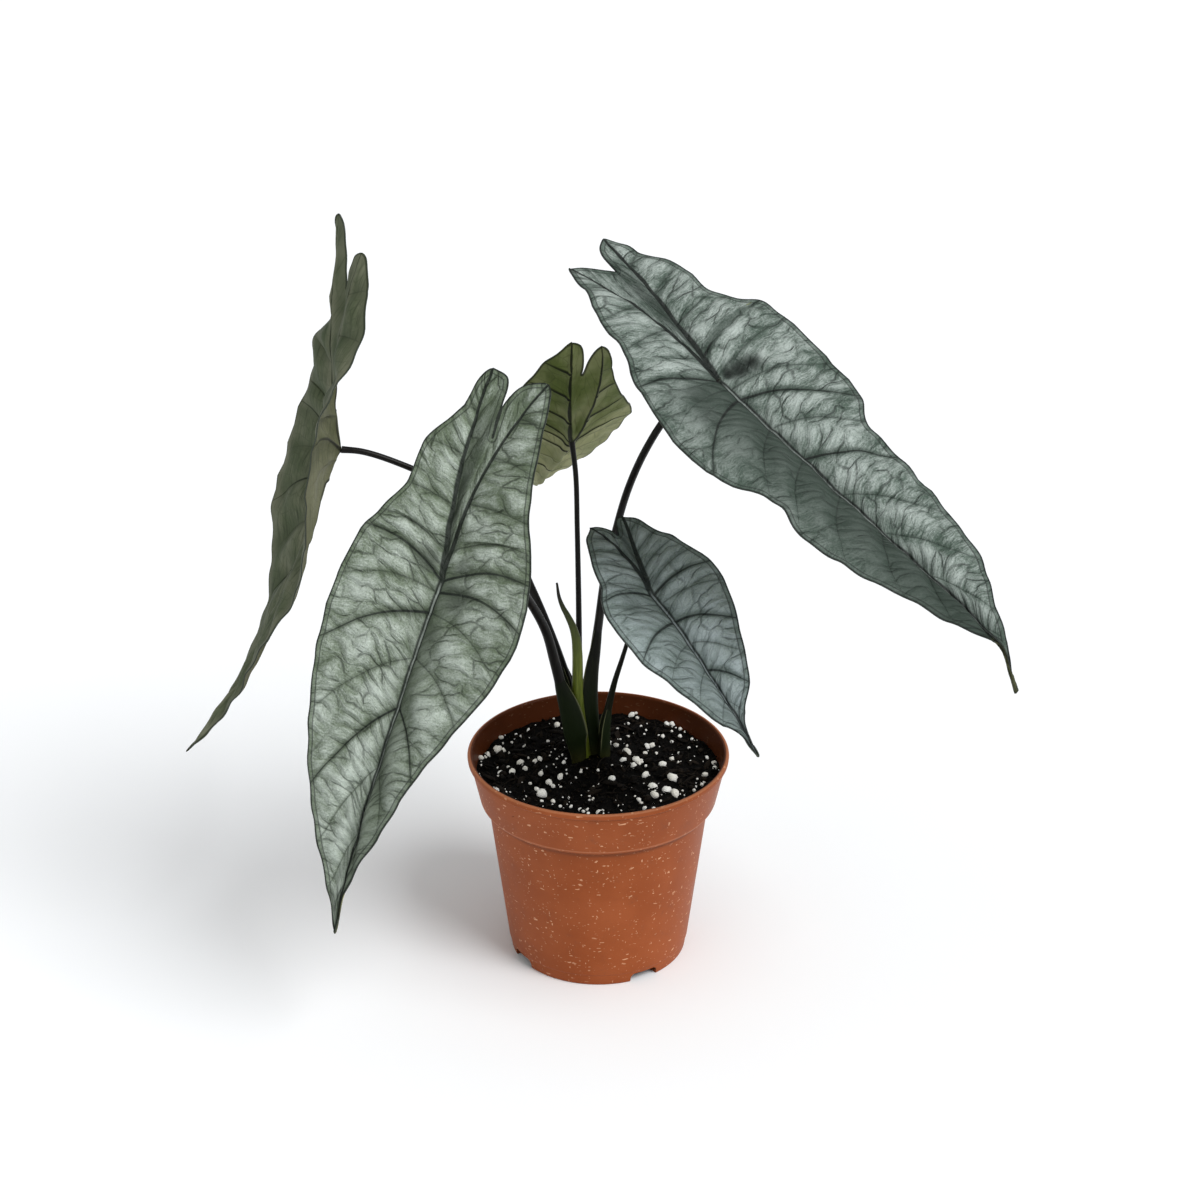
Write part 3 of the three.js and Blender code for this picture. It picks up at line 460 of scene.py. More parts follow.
def leaf_underside(name, olive, pale, shade, streaky=0.2, banded=0.0):
    """Matt underside of the leaf: plain olive, with dark raised veins, a faint fine net and soft
    dark streaks along the blade. banded makes it paler beside the rib and the margin."""
    made, shader, add = new_material(name, 0.65, 0.08)
    flow, flat = (add("UVMap", uv_map=layer) for layer in ("flow", "flat"))
    vein, rib, edge, bold, crest, past_joint = (
        add("Attribute", (), "Fac", attribute_name=key)
        for key in ("vein", "rib", "edge", "bold", "crest", "past_joint"))
    scaled = add("Mapping", {"Vector": flow, "Scale": (12, 20, 1)})
    net = add("TexVoronoi", {"Vector": scaled, "Scale": 1.0}, "Distance", **NET)
    net = add("MapRange", (net, 0.0, 0.08, 0.3, 0.0), **SMOOTH)
    cloud = add("TexNoise", {"Vector": flat, "Scale": 18.0, "Detail": 4.0})
    bands = strongest(add, add("MapRange", (edge, 1.5, 8.0, 1.0, 0.0), **SMOOTH),
                      add("MapRange", (rib, 1.0, 6.0, 1.0, 0.0), **SMOOTH))
    light = add("MapRange", (cloud, 0.35, 0.7, 0.0, 0.5), **SMOOTH)
    # Past the joint the underside is painted paler, as painted light
    light = weighted(add, (light, 1.0), (past_joint, 0.55 - banded), (bands, banded))

    drawn = add("Mapping", {"Vector": flow, "Scale": (70, 7, 1)})
    grain = add("TexNoise", {"Vector": drawn, "Scale": 1.0, "Detail": 4.0, "Roughness": 0.65})
    # Painted shade in the valleys at the veins
    valley_shade = add("MapRange", (crest, 0.0, 0.6, 0.4, 0.0), **SMOOTH)
    rib_line = add("MapRange", (rib, 0.3, 0.65, 0.95, 0.0), **SMOOTH)
    rib_fades = add("MapRange", (past_joint, 0.0, 1.0, 1.0, 0.2), **SMOOTH)
    vein_line = add("MapRange", (vein, 0.3, 1.2, 1.0, 0.0), **SMOOTH)
    lines = strongest(
        add, net,
        add("Math", (valley_shade, streaky), **TIMES),
        add("MapRange", (grain, 0.42, 0.72, 0.0, streaky), **SMOOTH),
        add("Math", (vein_line, bold), **TIMES),
        add("Math", (rib_line, rib_fades), **TIMES),
        add("MapRange", (edge, 0.4, 1.2, 0.8, 0.0), **SMOOTH))
    body = painted(add, olive, (light, pale), (lines, shade))
    return finish_surface(made, shader, body, weighted(add, (net, 0.5), (cloud, 0.5)), 0.4, 0.5)


def leaf_rim():
    """The leaf's cut edge: a tough dark line of collecting vein."""
    made, shader, add = new_material("leaf margin, dark", 0.5)
    tone = add("TexNoise", lumps(add("TexCoord", (), "Object"), 3.0))
    return finish_surface(made, shader, painted(add, "#2A3028", (tone, "#3A4238")))


def long_grain(add, width, squeeze, detail=4.0):
    """The place on the plant, upright streaks of a width in millimetres, which squeeze makes
    longer, and the height above the floor."""
    place = add("TexCoord", (), "Object")
    drawn = add("Mapping", {"Vector": place, "Scale": (1, 1, squeeze)})
    return place, add("TexNoise", lumps(drawn, width, detail)), add("SeparateXYZ", (place,), "Z")


def stalk_skin(name, foot, upper, change):
    """Smooth, slightly glossy stalk skin: green and streaky at the foot, near black above."""
    made, shader, add = new_material(name, 0.38, 0.18)
    place, streaks, height = long_grain(add, 1.2, 0.12)
    level = weighted(add, (height, 1.0), (add("TexNoise", lumps(place, 7.0)), 0.03))
    above = add("MapRange", (level, change[0] * MM, change[1] * MM), **SMOOTH)
    marks = add("MapRange", (streaks, 0.45, 0.75, 0.0, 0.35), **SMOOTH)
    body = painted(add, foot, (above, upper), (marks, "#2E2C22"))
    return finish_surface(made, shader, body, streaks, 0.25, 0.2)


def sheath_skin():
    """The sheath round a stalk's foot: a thin green membrane, pale along its free edges."""
    made, shader, add = new_material("stalk sheath, green membrane", 0.5, 0.12)
    _, streaks, height = long_grain(add, 1.0, 0.1)
    edge = add("Attribute", (), "Fac", attribute_name="edge")
    lip = add("MapRange", (edge, 0.1, 0.5, 0.7, 0.0), **SMOOTH)
    out_of_mix = add("MapRange", (height, 98 * MM, 106 * MM), **SMOOTH)
    body = painted(add, "#3A3A1C", (add("MapRange", (height, 92 * MM, 104 * MM), **SMOOTH), "#1B2611"),
                   (add("MapRange", (height, 108 * MM, 150 * MM), **SMOOTH), "#10120C"),
                   (add("MapRange", (streaks, 0.45, 0.8, 0.0, 0.4), **SMOOTH), "#27301A"),
                   (add("Math", (lip, out_of_mix), **TIMES), "#8C8F6B"))
    return finish_surface(made, shader, body, streaks, 0.35, 0.25)


def spear_skin():
    """The rolled new leaf: smooth yellow-green, with a long fine grain and a dark dry tip."""
    made, shader, add = new_material("new leaf, rolled, yellow-green", 0.4)
    _, streaks, height = long_grain(add, 0.9, 0.08)
    seam = add("Attribute", (), "Fac", attribute_name="edge")
    body = painted(add, "#5E6B1E", (add("MapRange", (streaks, 0.35, 0.7), **SMOOTH), "#7A8630"),
                   (add("MapRange", (height, 140 * MM, 168 * MM), **SMOOTH), "#3E4620"),
                   (add("MapRange", (height, 166 * MM, 178 * MM), **SMOOTH), "#211D14"),
                   (add("MapRange", (seam, 0.1, 0.5, 0.7, 0.0), **SMOOTH), "#3A4A22"))
    return finish_surface(made, shader, body, streaks, 0.3, 0.2)


def pot_plastic():
    """Injection-moulded polypropylene in terracotta colour: satin, with a slight orange peel, and
    short pale fibres in the plastic that lie flat along the wall."""
    made, shader, add = new_material("polypropylene, moulded, terracotta", 0.44, 0.12)
    place = add("TexCoord", (), "Object")
    inside = add("Attribute", (), "Fac", attribute_name="inside")
    cloud = add("TexNoise", lumps(place, 26.0, 3.0))
    # Fibres about 2 mm long and half as high: most lie level, fewer stand, and all come and go
    flecks = []
    for stretch, spacing, keep in (((1, 1, 2.6), 3.3, 0.705), ((1, 1, 2.0), 1.7, 0.72),
                                   ((2, 2, 0.9), 2.4, 0.73)):
        drawn = add("Mapping", {"Vector": place, "Scale": stretch})
        fibres = add("TexNoise", lumps(drawn, spacing, 1.0, 0.4))
        flecks.append(add("MapRange", (fibres, keep, keep + 0.035), **SMOOTH))
    come_and_go = add("MapRange", (add("TexNoise", lumps(place, 6.0)), 0.35, 0.65, 0.4, 1.0), **SMOOTH)
    fleck = add("Math", (strongest(add, *flecks), come_and_go), **TIMES)
    dust = add("MapRange", (add("TexNoise", lumps(place, 9.0, 6.0, 0.7)), 0.55, 0.78, 0.0, 0.4), **SMOOTH)
    # The inside wall is painted much darker, as painted shade
    body = painted(add, "#904822", (add("MapRange", (cloud, 0.3, 0.75), **SMOOTH), "#9C522C"),
                   (add("Math", (fleck, 0.8), **TIMES), "#E2AE88"), (dust, "#6E4330"),
                   (add("Math", (inside, 0.8), **TIMES), "#42200F"))
    # Painted shade under the rim band and the lip, and painted highlights on the band's foot and lip
    height = add("SeparateXYZ", (place,), "Z")
    outer = weighted(add, (1.0, 1.0), (inside, -1.0))
    band_foot, lip_foot = POT_HEIGHT - RIM_BAND, POT_HEIGHT - LIP_HEIGHT
    shade_tint, highlight_tint = "#4A2412", "#C98A66"
    for low, high, share, tint in ((band_foot - 4.5, band_foot - 0.2, 0.5, shade_tint),
                                   (band_foot + 0.2, band_foot + 1.6, 0.35, highlight_tint),
                                   (lip_foot - 0.6, lip_foot + 0.4, 0.35, shade_tint),
                                   (POT_HEIGHT - 1, POT_HEIGHT + 0.6, 0.45, highlight_tint)):
        middle = (low + high) / 2
        climb = add("MapRange", (height, low * MM, middle * MM), **SMOOTH)
        drop = add("MapRange", (height, middle * MM, high * MM, share, 0.0), **SMOOTH)
        ring = add("Math", (climb, drop), **TIMES)
        body = painted(add, body, (add("Math", (ring, outer), **TIMES), tint))
    satin = add("MapRange", (cloud, 0.3, 0.7, 0.4, 0.5), **SMOOTH)
    made.node_tree.links.new(satin, shader.inputs["Roughness"])
    peel = weighted(add, (add("TexNoise", lumps(place, 1.6, 2.0)), 0.5), (fleck, 1.0))
    return finish_surface(made, shader, body, peel, 0.18, 0.15)


def mix_earth():
    """Damp peat and bark: near black, with brown fibres and a few wet glints."""
    made, shader, add = new_material("potting mix, damp peat and bark", 0.8, 0.08)
    place = add("TexCoord", (), "Object")
    crumbs = add("TexNoise", lumps(place, 2.2, 6.0, 0.7))
    turned_round = {"Vector": place, "Rotation": (0, 0, 0.6), "Scale": (1, 0.25, 1)}
    fibres = add("TexNoise", lumps(add("Mapping", turned_round), 1.0, 5.0))
    body = painted(add, "#040404", (add("MapRange", (crumbs, 0.42, 0.72), **SMOOTH), "#120F0C"),
                   (add("MapRange", (fibres, 0.6, 0.74, 0.0, 0.5), **SMOOTH), "#332B24"))
    return finish_surface(made, shader, body, crumbs, 0.9, 1.0)


def bark():
    """Chipped bark, crumbs of peat and fine root: dark brown to near black, each bit its own tone."""
    made, shader, add = new_material("bark chips, damp", 0.7, 0.1)
    tone = add("Attribute", (), "Fac", attribute_name="tone")
    grain = add("TexNoise", lumps(add("TexCoord", (), "Object"), 0.9, 5.0))
    body = painted(add, "#050404", (tone, "#241D17"),
                   (add("MapRange", (grain, 0.5, 0.75, 0.0, 0.35), **SMOOTH), "#3E342A"))
    return finish_surface(made, shader, body, grain, 0.6, 0.3)


def perlite():
    """Expanded perlite: chalky off-white, pitted, with a little soil in its pits. It glows
    faintly: painted light, which makes it look whiter."""
    made, shader, add = new_material("perlite, expanded", 0.85, 0.2)
    tone = add("Attribute", (), "Fac", attribute_name="tone")
    pits = add("TexNoise", lumps(add("TexCoord", (), "Object"), 0.7, 4.0, 0.7))
    body = painted(add, "#F1EEE6", (tone, "#FFFFFC"),
                   (add("MapRange", (pits, 0.56, 0.76, 0.0, 0.45), **SMOOTH), "#837B6B"))
    # Painted light: the grains glow faintly in their own colour
    made.node_tree.links.new(body, shader.inputs["Emission Color"])
    shader.inputs["Emission Strength"].default_value = 0.12
    return finish_surface(made, shader, body, pits, 0.8, 0.4)


def crown_husk():
    """The crown's old husk: brown, fibrous and damp."""
    made, shader, add = new_material("crown husk, fibrous", 0.7, 0.15)
    _, streaks, _ = long_grain(add, 0.9, 0.2, 5.0)
    body = painted(add, "#2A2115", (add("MapRange", (streaks, 0.35, 0.7), **SMOOTH), "#57482C"))
    return finish_surface(made, shader, body, streaks, 0.6, 0.4)


# Small modelling helpers


def deselect_all():
    for shown in bpy.context.selected_objects:
        shown.select_set(False)


def pick(*objects):
    """Selects these objects alone, and makes the first one active."""
    deselect_all()
    for chosen in objects:
        chosen.select_set(True)
    bpy.context.view_layer.objects.active = objects[0]


def apply_place(piece):
    pick(piece)
    bpy.ops.object.transform_apply(location=True, rotation=True, scale=True)


def apply_modifier(piece, kind, **settings):
    """Adds one modifier with these settings and applies it."""
    pick(piece)
    modifier = piece.modifiers.new(kind.lower(), kind)
    for key, value in settings.items():
        setattr(modifier, key, value)
    bpy.ops.object.modifier_apply(modifier=modifier.name)


def join(name, pieces):
    """Makes one object of several."""
    pick(*pieces)
    if len(pieces) > 1:
        bpy.ops.object.join()
    made = bpy.context.object
    made.name = name
    made.data.name = name
    return made


def place_array(mesh):
    """The mesh's points as an array of rows, in metres."""
    flat = np.empty(len(mesh.vertices) * 3)
    mesh.vertices.foreach_get("co", flat)
    return flat.reshape(-1, 3)


def set_places(mesh, places):
    mesh.vertices.foreach_set("co", np.asarray(places, float).ravel())
    mesh.update()


def carry(mesh, name, values):
    """Gives each point of the mesh a value that its material can read."""
    layer = mesh.attributes.get(name) or mesh.attributes.new(name, "FLOAT", "POINT")
    layer.data.foreach_set("value", np.asarray(values, np.float32))


def carry_map(mesh, name, places):
    """Gives the mesh a UV map from one pair of numbers for each point."""
    layer = mesh.uv_layers.get(name) or mesh.uv_layers.new(name=name)
    corners = np.empty(len(mesh.loops), int)
    mesh.loops.foreach_get("vertex_index", corners)
    layer.data.foreach_set("uv", np.asarray(places, float)[corners].ravel())


def grid_sheet(rows, columns):
    """A sheet one unit wide with this many rows and columns of points, and the row and the column
    of each point."""
    bpy.ops.mesh.primitive_grid_add(x_subdivisions=columns - 1, y_subdivisions=rows - 1, size=1,
                                    location=(0.5, 0.5, 0))
    sheet = bpy.context.object
    apply_place(sheet)
    grid = place_array(sheet.data)
    row = np.rint(grid[:, 1] * (rows - 1)).astype(int)
    return sheet, row, np.rint(grid[:, 0] * (columns - 1)).astype(int)


def finish_piece(piece, materials, nodes=(), angle=None):
    """Smooths a finished piece, gives it its materials and lets it ride on the plant."""
    pick(piece)
    if angle is None:
        bpy.ops.object.shade_smooth()
    else:
        bpy.ops.object.shade_smooth_by_angle(angle=math.radians(angle))
    if not piece.data.materials:
        for made in materials:
            piece.data.materials.append(made)
    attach(piece, "root")
    if nodes:
        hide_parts(*nodes)
    return piece


def smooth_path(points, at):
    """Places on a smooth path through the points, for at from 0 to 1 in equal steps per point."""
    points = np.asarray(points, float)
    last = len(points) - 1
    x = np.clip(np.asarray(at, float), 0, 1) * last
    k = np.minimum(np.floor(x).astype(int), last - 1)
    w = (x - k)[..., None]
    longer = np.vstack([2 * points[0] - points[1], points, 2 * points[-1] - points[-2]])
    p0, p1, p2, p3 = longer[k], longer[k + 1], longer[k + 2], longer[k + 3]

    def knot(a, b):
        return np.maximum(((a - b) ** 2).sum(-1, keepdims=True), 1e-12) ** 0.25

    a, b, c = knot(p0, p1), knot(p1, p2), knot(p2, p3)
    m1 = ((p1 - p0) / a - (p2 - p0) / (a + b) + (p2 - p1) / b) * b
    m2 = ((p2 - p1) / b - (p3 - p1) / (b + c) + (p3 - p2) / c) * b
    return p1 + m1 * w + (3 * (p2 - p1) - 2 * m1 - m2) * w ** 2 + (2 * (p1 - p2) + m1 + m2) * w ** 3


def distance_to(places, line):
    """How far each place is from the nearest point of a line of points, seen from above."""
    gaps = places[:, None, :2] - line[None, :, :2]
    return np.sqrt((gaps ** 2).sum(-1)).min(1)


# Blades


def crest_share(row, t):
    """1 along the top of the panel between two lateral veins, and 0 at the veins and the ribs."""
    return np.abs(np.sin(np.pi * row)) ** 1.3 * np.sin(np.pi * t ** 0.8)


class BladeHalf:
    """One half of a blade while it is still flat. A row runs along a lateral vein, and t goes from
    the rib at 0 to the margin at 1."""

    def __init__(self, leaf, side):
        self.leaf = leaf
        self.side = side
        self.starts = np.array(leaf["from"], float)
        self.rows = len(self.starts) - 1
        self.midrib = np.array([[*p, 0.0][:3] for p in leaf["midrib"]], float)
        self.joint = leaf["from"].index(0)
        self.edge = np.array([[p[0], p[1], p[2] if len(p) > 2 else leaf["fold"] * abs(p[0])]
                              for p in leaf[side]], float)
        self.lobe = self.edge[0]
        self.notch = np.array([*leaf["notch"], 0.0][:3])
        sinus = [[*p, 0.0] for p in leaf["sinus"][side]]
        self.sinus = np.array([[*self.lobe[:2], 0.0], *sinus, self.notch])
        axis = self.lobe[:2] - leaf["lobe_rib"][side][:2]
        turn = 1 if side == "right" else -1
        self.outward = turn * np.array([-axis[1], axis[0], 0]) / np.hypot(*axis)

    def start(self, row):
        return np.interp(row, np.arange(self.rows + 1), self.starts)

    def rib(self, row):
        """The midrib above the joint, and the lobe's own rib below it."""
        y = self.start(row)
        line = self.midrib
        k = np.clip(np.searchsorted(line[:, 1], y, side="right") - 1, 0, len(line) - 2)
        f = (y - line[k, 1]) / (line[k + 1, 1] - line[k, 1])
        path = smooth_path(line, (k + f) / (len(line) - 1))
        middle = self.leaf["lobe_rib"][self.side]
        g = y / self.starts[0]
        bow, end = 4 * g * (1 - g), g * (2 * g - 1)
        rise = middle[2] if len(middle) > 2 else 0
        below = np.stack([bow * middle[0] + end * self.lobe[0], bow * middle[1] + end * self.lobe[1],
                          bow * rise + self.lobe[2] * g * g], -1)
        return np.where((y >= 0)[..., None], np.stack([path[..., 0], y, path[..., 2]], -1), below)

    def rounded(self, share, swell):
        """How far the edge of a blunt lobe swells near its tip, where share is 0."""
        most = swell[0] * self.outward + [0, 0, swell[1]]
        return (2.6 * np.sqrt(share) * (1 - share))[..., None] * most

    def margin(self, row):
        """The outer edge: blunt at the lobe, and drawn in along the drip tip."""
        place = smooth_path(self.edge, row / self.rows)
        place = place + self.rounded(np.clip(row, 0, 1), self.leaf["blunt"][self.side][0])
        last = np.clip(row - self.rows + 1, 0, 1)
        middle = np.interp(place[..., 1], self.midrib[:, 1], self.midrib[:, 0])
        place[..., 0] += (middle - place[..., 0]) * self.leaf["drip"] * np.sin(np.pi * last)
        return place

    def outer(self, row, t):
        """A point between rib and margin, with the swell of the blade between its veins."""
        start, stop = self.rib(row), self.margin(row)
        place = start + (stop - start) * t[..., None]
        chord = np.linalg.norm((stop - start)[..., :2], axis=-1)
        bowed = np.where(self.start(row) > LOBE_VEINS_FROM, 1, LOBE_VEIN_BOW)
        place[..., 1] -= VEIN_BOW * chord * np.sin(np.pi * t) * bowed
        k = np.clip(np.floor(row).astype(int), 0, self.rows - 1)
        spacing = np.minimum(self.starts[k + 1] - self.starts[k], WIDEST_QUILT)
        spacing = spacing * np.clip(chord / FULL_QUILT_CHORD, 0, 1)
        place[..., 2] += (stop - start)[..., 2] * CROSS_BULGE * t * (1 - t)
        place[..., 2] += QUILTING * spacing * crest_share(row, t)
        return place

    def inner(self, row, t):
        """A point between the lobe's rib and the other half, or the gap between the lobes."""
        f = np.clip((self.joint - row) / (self.joint - NOTCH_ROW), 0, 1)
        middle = self.notch * f[..., None]
        middle[..., [0, 2]] += np.array(self.leaf["gutter"]) * np.sin(np.pi * f)[..., None]
        share = np.clip(row / NOTCH_ROW, 0, 1)
        edge = smooth_path(self.sinus, share)
        edge[..., 2] = self.lobe[2] * (1 - share) + self.notch[2] * share
        edge = edge - self.rounded(share, self.leaf["blunt"][self.side][1])
        stop = np.where((row >= NOTCH_ROW)[..., None], middle, edge)
        start = self.rib(row)
        return start + (stop - start) * t[..., None]

    def veins(self, row, t):
        """How far a point is from its nearest lateral vein, in half-widths, and how bold that vein is."""
        nearest = np.rint(row)
        gap = np.linalg.norm(self.outer(row, t) - self.outer(nearest, t), axis=-1)
        strong = np.isin(nearest, self.leaf["strong"][self.side])
        width = np.where(strong, 0.95, 0.6) * (1 - 0.55 * t)
        bold = np.where(strong, 1 - 0.3 * t, 0.5 - 0.12 * t)
        real = (nearest > 0) & (nearest < self.rows)
        return np.where(real, gap / width, FAR_FROM_VEIN), bold

    def reach(self, row, t):
        """Real distances along the blade and along the margin, for patterns that follow the veins."""
        every = np.linspace(0, self.rows, 20 * self.rows + 1)
        steps = np.linalg.norm(np.diff(self.margin(every), axis=0), axis=-1)
        run = np.concatenate([[0], np.cumsum(steps)])
        run = np.interp(row, every, run) - np.interp(self.joint, every, run)
        return self.start(row) * (1 - t) + run * t


def graded(count):
    """Steps from 0 to 1 that are finer at both ends."""
    s = np.linspace(0, 1, count + 1)
    return s - 0.1 * np.sin(2 * np.pi * s)


def row_stops(half, last):
    """Rows for the mesh: each stretch between two veins has steps that are finer near the veins."""
    stops = [0.0]
    for k in range(last):
        count = max(4, 2 * round((half.starts[k + 1] - half.starts[k]) / ROW_SPACING / 2))
        stops.extend(k + graded(count)[1:])
    return np.array(stops)


def blade_lines(leaf):
    """The ribs and the margins of the flat blade, as dense lines of points."""
    ribs, margins = {}, []
    for side in ("right", "left"):
        half = BladeHalf(leaf, side)
        every = np.linspace(0, half.rows, 40 * half.rows + 1)
        ribs[side] = half.rib(every)
        margins.append(half.margin(every))
        gap = np.linspace(0, NOTCH_ROW, 60)
        margins.append(half.inner(gap, np.ones_like(gap)))
    return ribs, np.vstack(margins)


def curl(leaf, places):
    """Bends and twists flat places into the blade's real form."""
    y = places[:, 1]
    rate = np.radians(np.where(y >= 0, leaf["bend_tip"], leaf["bend_lobes"])) / 100
    rate = np.where(rate == 0, 1e-9, rate)
    turn = rate * y
    none = np.zeros_like(y)
    spine = np.stack([none, np.sin(turn) / rate, (np.cos(turn) - 1) / rate], -1)
    up = np.stack([none, np.sin(turn), np.cos(turn)], -1)
    across = np.array([1.0, 0.0, 0.0])
    twist = (np.radians(leaf["twist"]) * y / 100)[:, None]
    side = across * np.cos(twist) - up * np.sin(twist)
    top = up * np.cos(twist) + across * np.sin(twist)
    return spine + side * places[:, :1] + top * places[:, 2:]


def aim(leaf):
    """Turns a blade from lying along +Y to its heading, pitch and roll."""
    heading = Matrix.Rotation(math.radians(leaf["heading"] - 90), 3, "Z")
    pitch = Matrix.Rotation(math.radians(leaf["pitch"]), 3, "X")
    roll = Matrix.Rotation(math.radians(leaf["roll"]), 3, "Y")
    return np.array(heading @ pitch @ roll)


def strip_shade(leaf, side, flat, row, ribs):
    """How much painted shade darkens the sunken strip between the two lobe ribs."""
    own = distance_to(flat, ribs[side])
    other = distance_to(flat, ribs["left" if side == "right" else "right"])
    share = own / (own + other + 0.01)
    share = share if side == "right" else 1 - share
    strengths = [leaf["dim"][name][2] for name in ("right", "left")]
    shade = np.interp(share, [0.45, 0.65], strengths) * np.clip(np.minimum(own, other) / 1.5, 0, 1)
    return shade * np.clip((row - 0.6) / 2, 0, 1)


def fold_depths(leaf, flat):
    """How deep each point lies in the folds, and how much painted shade darkens it there."""
    sink, hollow_shade = np.zeros(len(flat)), np.zeros(len(flat))
    for x, y, radius, depth in leaf["folds"]:
        near = np.exp(-(np.hypot(flat[:, 0] - x, flat[:, 1] - y) / radius) ** 3)
        sink = np.maximum(sink, depth * near)
        hollow_shade = np.maximum(hollow_shade, np.clip(0.62 * depth, 0, 0.95) * near)
    return sink, hollow_shade


def blade_patch(leaf, side, inner, ribs, margins):
    """One patch of the blade: a grid whose points are carried onto the flat blade and then bent."""
    half = BladeHalf(leaf, side)
    stops = row_stops(half, half.joint if inner else half.rows)
    columns = graded(INNER_COLUMNS if inner else COLUMNS)
    patch, i, j = grid_sheet(len(stops), len(columns))
    mesh = patch.data
    row, t = stops[i], columns[j]
    flat = half.inner(row, t) if inner else half.outer(row, t)
    vein, bold = (np.full(len(t), FAR_FROM_VEIN), 0 * t) if inner else half.veins(row, t)
    # The ribs grow thinner from the joint to the tip and to the lobes
    from_rib = distance_to(flat, np.vstack([ribs["right"], ribs["left"]]))
    length = np.where(flat[:, 1] > 0, half.starts[-1], -half.starts[0])
    taper = 1.35 - 0.85 * np.clip(np.abs(flat[:, 1]) / length, 0, 1) ** 0.7
    rib = from_rib / taper
    edge = distance_to(flat, margins)

    # Painted shade in the folds at the joint and between the lobe ribs, and beside the midrib
    sink, hollow_shade = fold_depths(leaf, flat)
    if inner:
        hollow_shade = np.maximum(hollow_shade, strip_shade(leaf, side, flat, row, ribs))
    strength, breadth = leaf["dim"][side][:2]
    dim = strength * np.exp(-(from_rib / breadth) ** 2) * np.clip(flat[:, 1] / 12 + 1, 0, 1)
    # The veins lie in grooves, and each rib stands in the middle of its own
    margin_fade = np.clip(edge / 3, 0, 1)
    sink += 0.55 * bold * np.exp(-vein ** 2) * margin_fade * np.clip(from_rib / 1.5, 0, 1)
    groove = 0.75 * np.exp(-(rib / 1.5) ** 2) - 0.35 * np.exp(-(rib / 0.5) ** 2)
    sink += leaf["keel"] * groove * margin_fade * np.clip(taper, 0, 1)
    # The margin ripples, and the whole surface is slightly puckered
    run = 0 * t + half.start(row) if inner else half.reach(row, t)
    ripple = 0 * t if inner else MARGIN_RIPPLE * np.sin(run / 2.7) * t ** 4
    pucker = 0 * t
    for wide, high in PUCKERS:
        spots = np.column_stack([flat[:, :2] / wide, np.full(len(t), leaf["heading"])])
        pucker += high * np.array([lattice.noise(Vector(spot)) for spot in spots.tolist()])
    flat[:, 2] += BLADE_THICKNESS / 2 + ripple + pucker - sink

    set_places(mesh, (curl(leaf, flat) @ aim(leaf).T + np.array(leaf["at"])) * MM)
    values = {"vein": vein, "bold": bold, "rib": rib, "edge": edge, "hollow_shade": hollow_shade,
              "dim": 0 * t if inner else dim, "crest": (0.3 if inner else 1) * crest_share(row, t),
              "past_joint": np.clip(flat[:, 1] / 4, 0, 1)}
    for name, value in values.items():
        carry(mesh, name, value)
    while mesh.uv_layers:
        mesh.uv_layers.remove(mesh.uv_layers[0])
    carry_map(mesh, "flat", flat[:, :2] / FLAT_MAP + 0.5)
    # Each patch takes a part of the pattern of its own
    offset = (3.0 if side == "left" else 0.0) + (7.0 if inner else 0.0)
    flow = [run, flat[:, 0]] if inner else [from_rib, run]
    carry_map(mesh, "flow", np.stack([flow[0] / FLOW_MAP, flow[1] / FLOW_MAP + offset], -1))
    return patch


def face_up(sheet, up):
    """Closes the sheet's seams, and turns its faces towards its upper side."""
    bpy.ops.object.mode_set(mode="EDIT")
    bpy.ops.mesh.select_all(action="SELECT")
    bpy.ops.mesh.remove_doubles(threshold=0.02 * MM)
    bpy.ops.mesh.normals_make_consistent(inside=False)
    bpy.ops.object.mode_set(mode="OBJECT")
    facing = np.empty(len(sheet.data.polygons) * 3)
    sheet.data.polygons.foreach_get("normal", facing)
    if (facing.reshape(-1, 3) @ up).mean() < 0:
        bpy.ops.object.mode_set(mode="EDIT")
        bpy.ops.mesh.flip_normals()
        bpy.ops.object.mode_set(mode="OBJECT")


def blade(name, materials):
    """A whole blade: four patches in one sheet, given its thickness and the ridges under its veins."""
    leaf = LEAVES[name]
    ribs, margins = blade_lines(leaf)
    patches = [blade_patch(leaf, side, inner, ribs, margins)
               for side in ("right", "left") for inner in (False, True)]
    sheet = join(f"leaf_{name}", patches)
    face_up(sheet, aim(leaf) @ np.array([0.0, 0.0, 1.0]))

    mesh = sheet.data
    rib, vein, bold, edge = (np.empty(len(mesh.vertices)) for _ in range(4))
    for values, key in ((rib, "rib"), (vein, "vein"), (bold, "bold"), (edge, "edge")):
        mesh.attributes[key].data.foreach_get("value", values)
    full = BLADE_THICKNESS + MIDRIB_KEEL
    depth = BLADE_THICKNESS * (0.6 + 0.4 * np.clip(edge / 4, 0, 1))
    depth += leaf["keel"] * MIDRIB_KEEL * np.exp(-(rib / 1.2) ** 2) * np.clip(edge / 8, 0, 1)
    depth += VEIN_KEEL * bold * np.exp(-(vein / 1.1) ** 2) * np.clip(edge / 5, 0, 1)
    share = np.clip(np.rint(depth / full * THICKNESS_STEPS), 1, THICKNESS_STEPS).astype(int)
    for made in materials:
        mesh.materials.append(made)
    group = sheet.vertex_groups.new(name="thickness")
    for step in np.unique(share):
        group.add([int(i) for i in np.flatnonzero(share == step)], step / THICKNESS_STEPS, "REPLACE")
    apply_modifier(sheet, "SOLIDIFY", thickness=full * MM, offset=-1, vertex_group="thickness",
                   use_rim=True, material_offset=1, material_offset_rim=2)
    sheet.vertex_groups.clear()
    return finish_piece(sheet, materials, [f"blade_{name}"], angle=60)


# Stalks, sheaths and the new leaf


def stalk_line(points, steps=12):
    """Places and radii along a stalk, at even steps between its points."""
    points = np.array(points, float)
    at = np.linspace(0, 1, steps * (len(points) - 1) + 1)
    places = smooth_path(points[:, :3], at)
    radii = np.interp(at * (len(points) - 1), np.arange(len(points)), points[:, 3])
    return places, radii


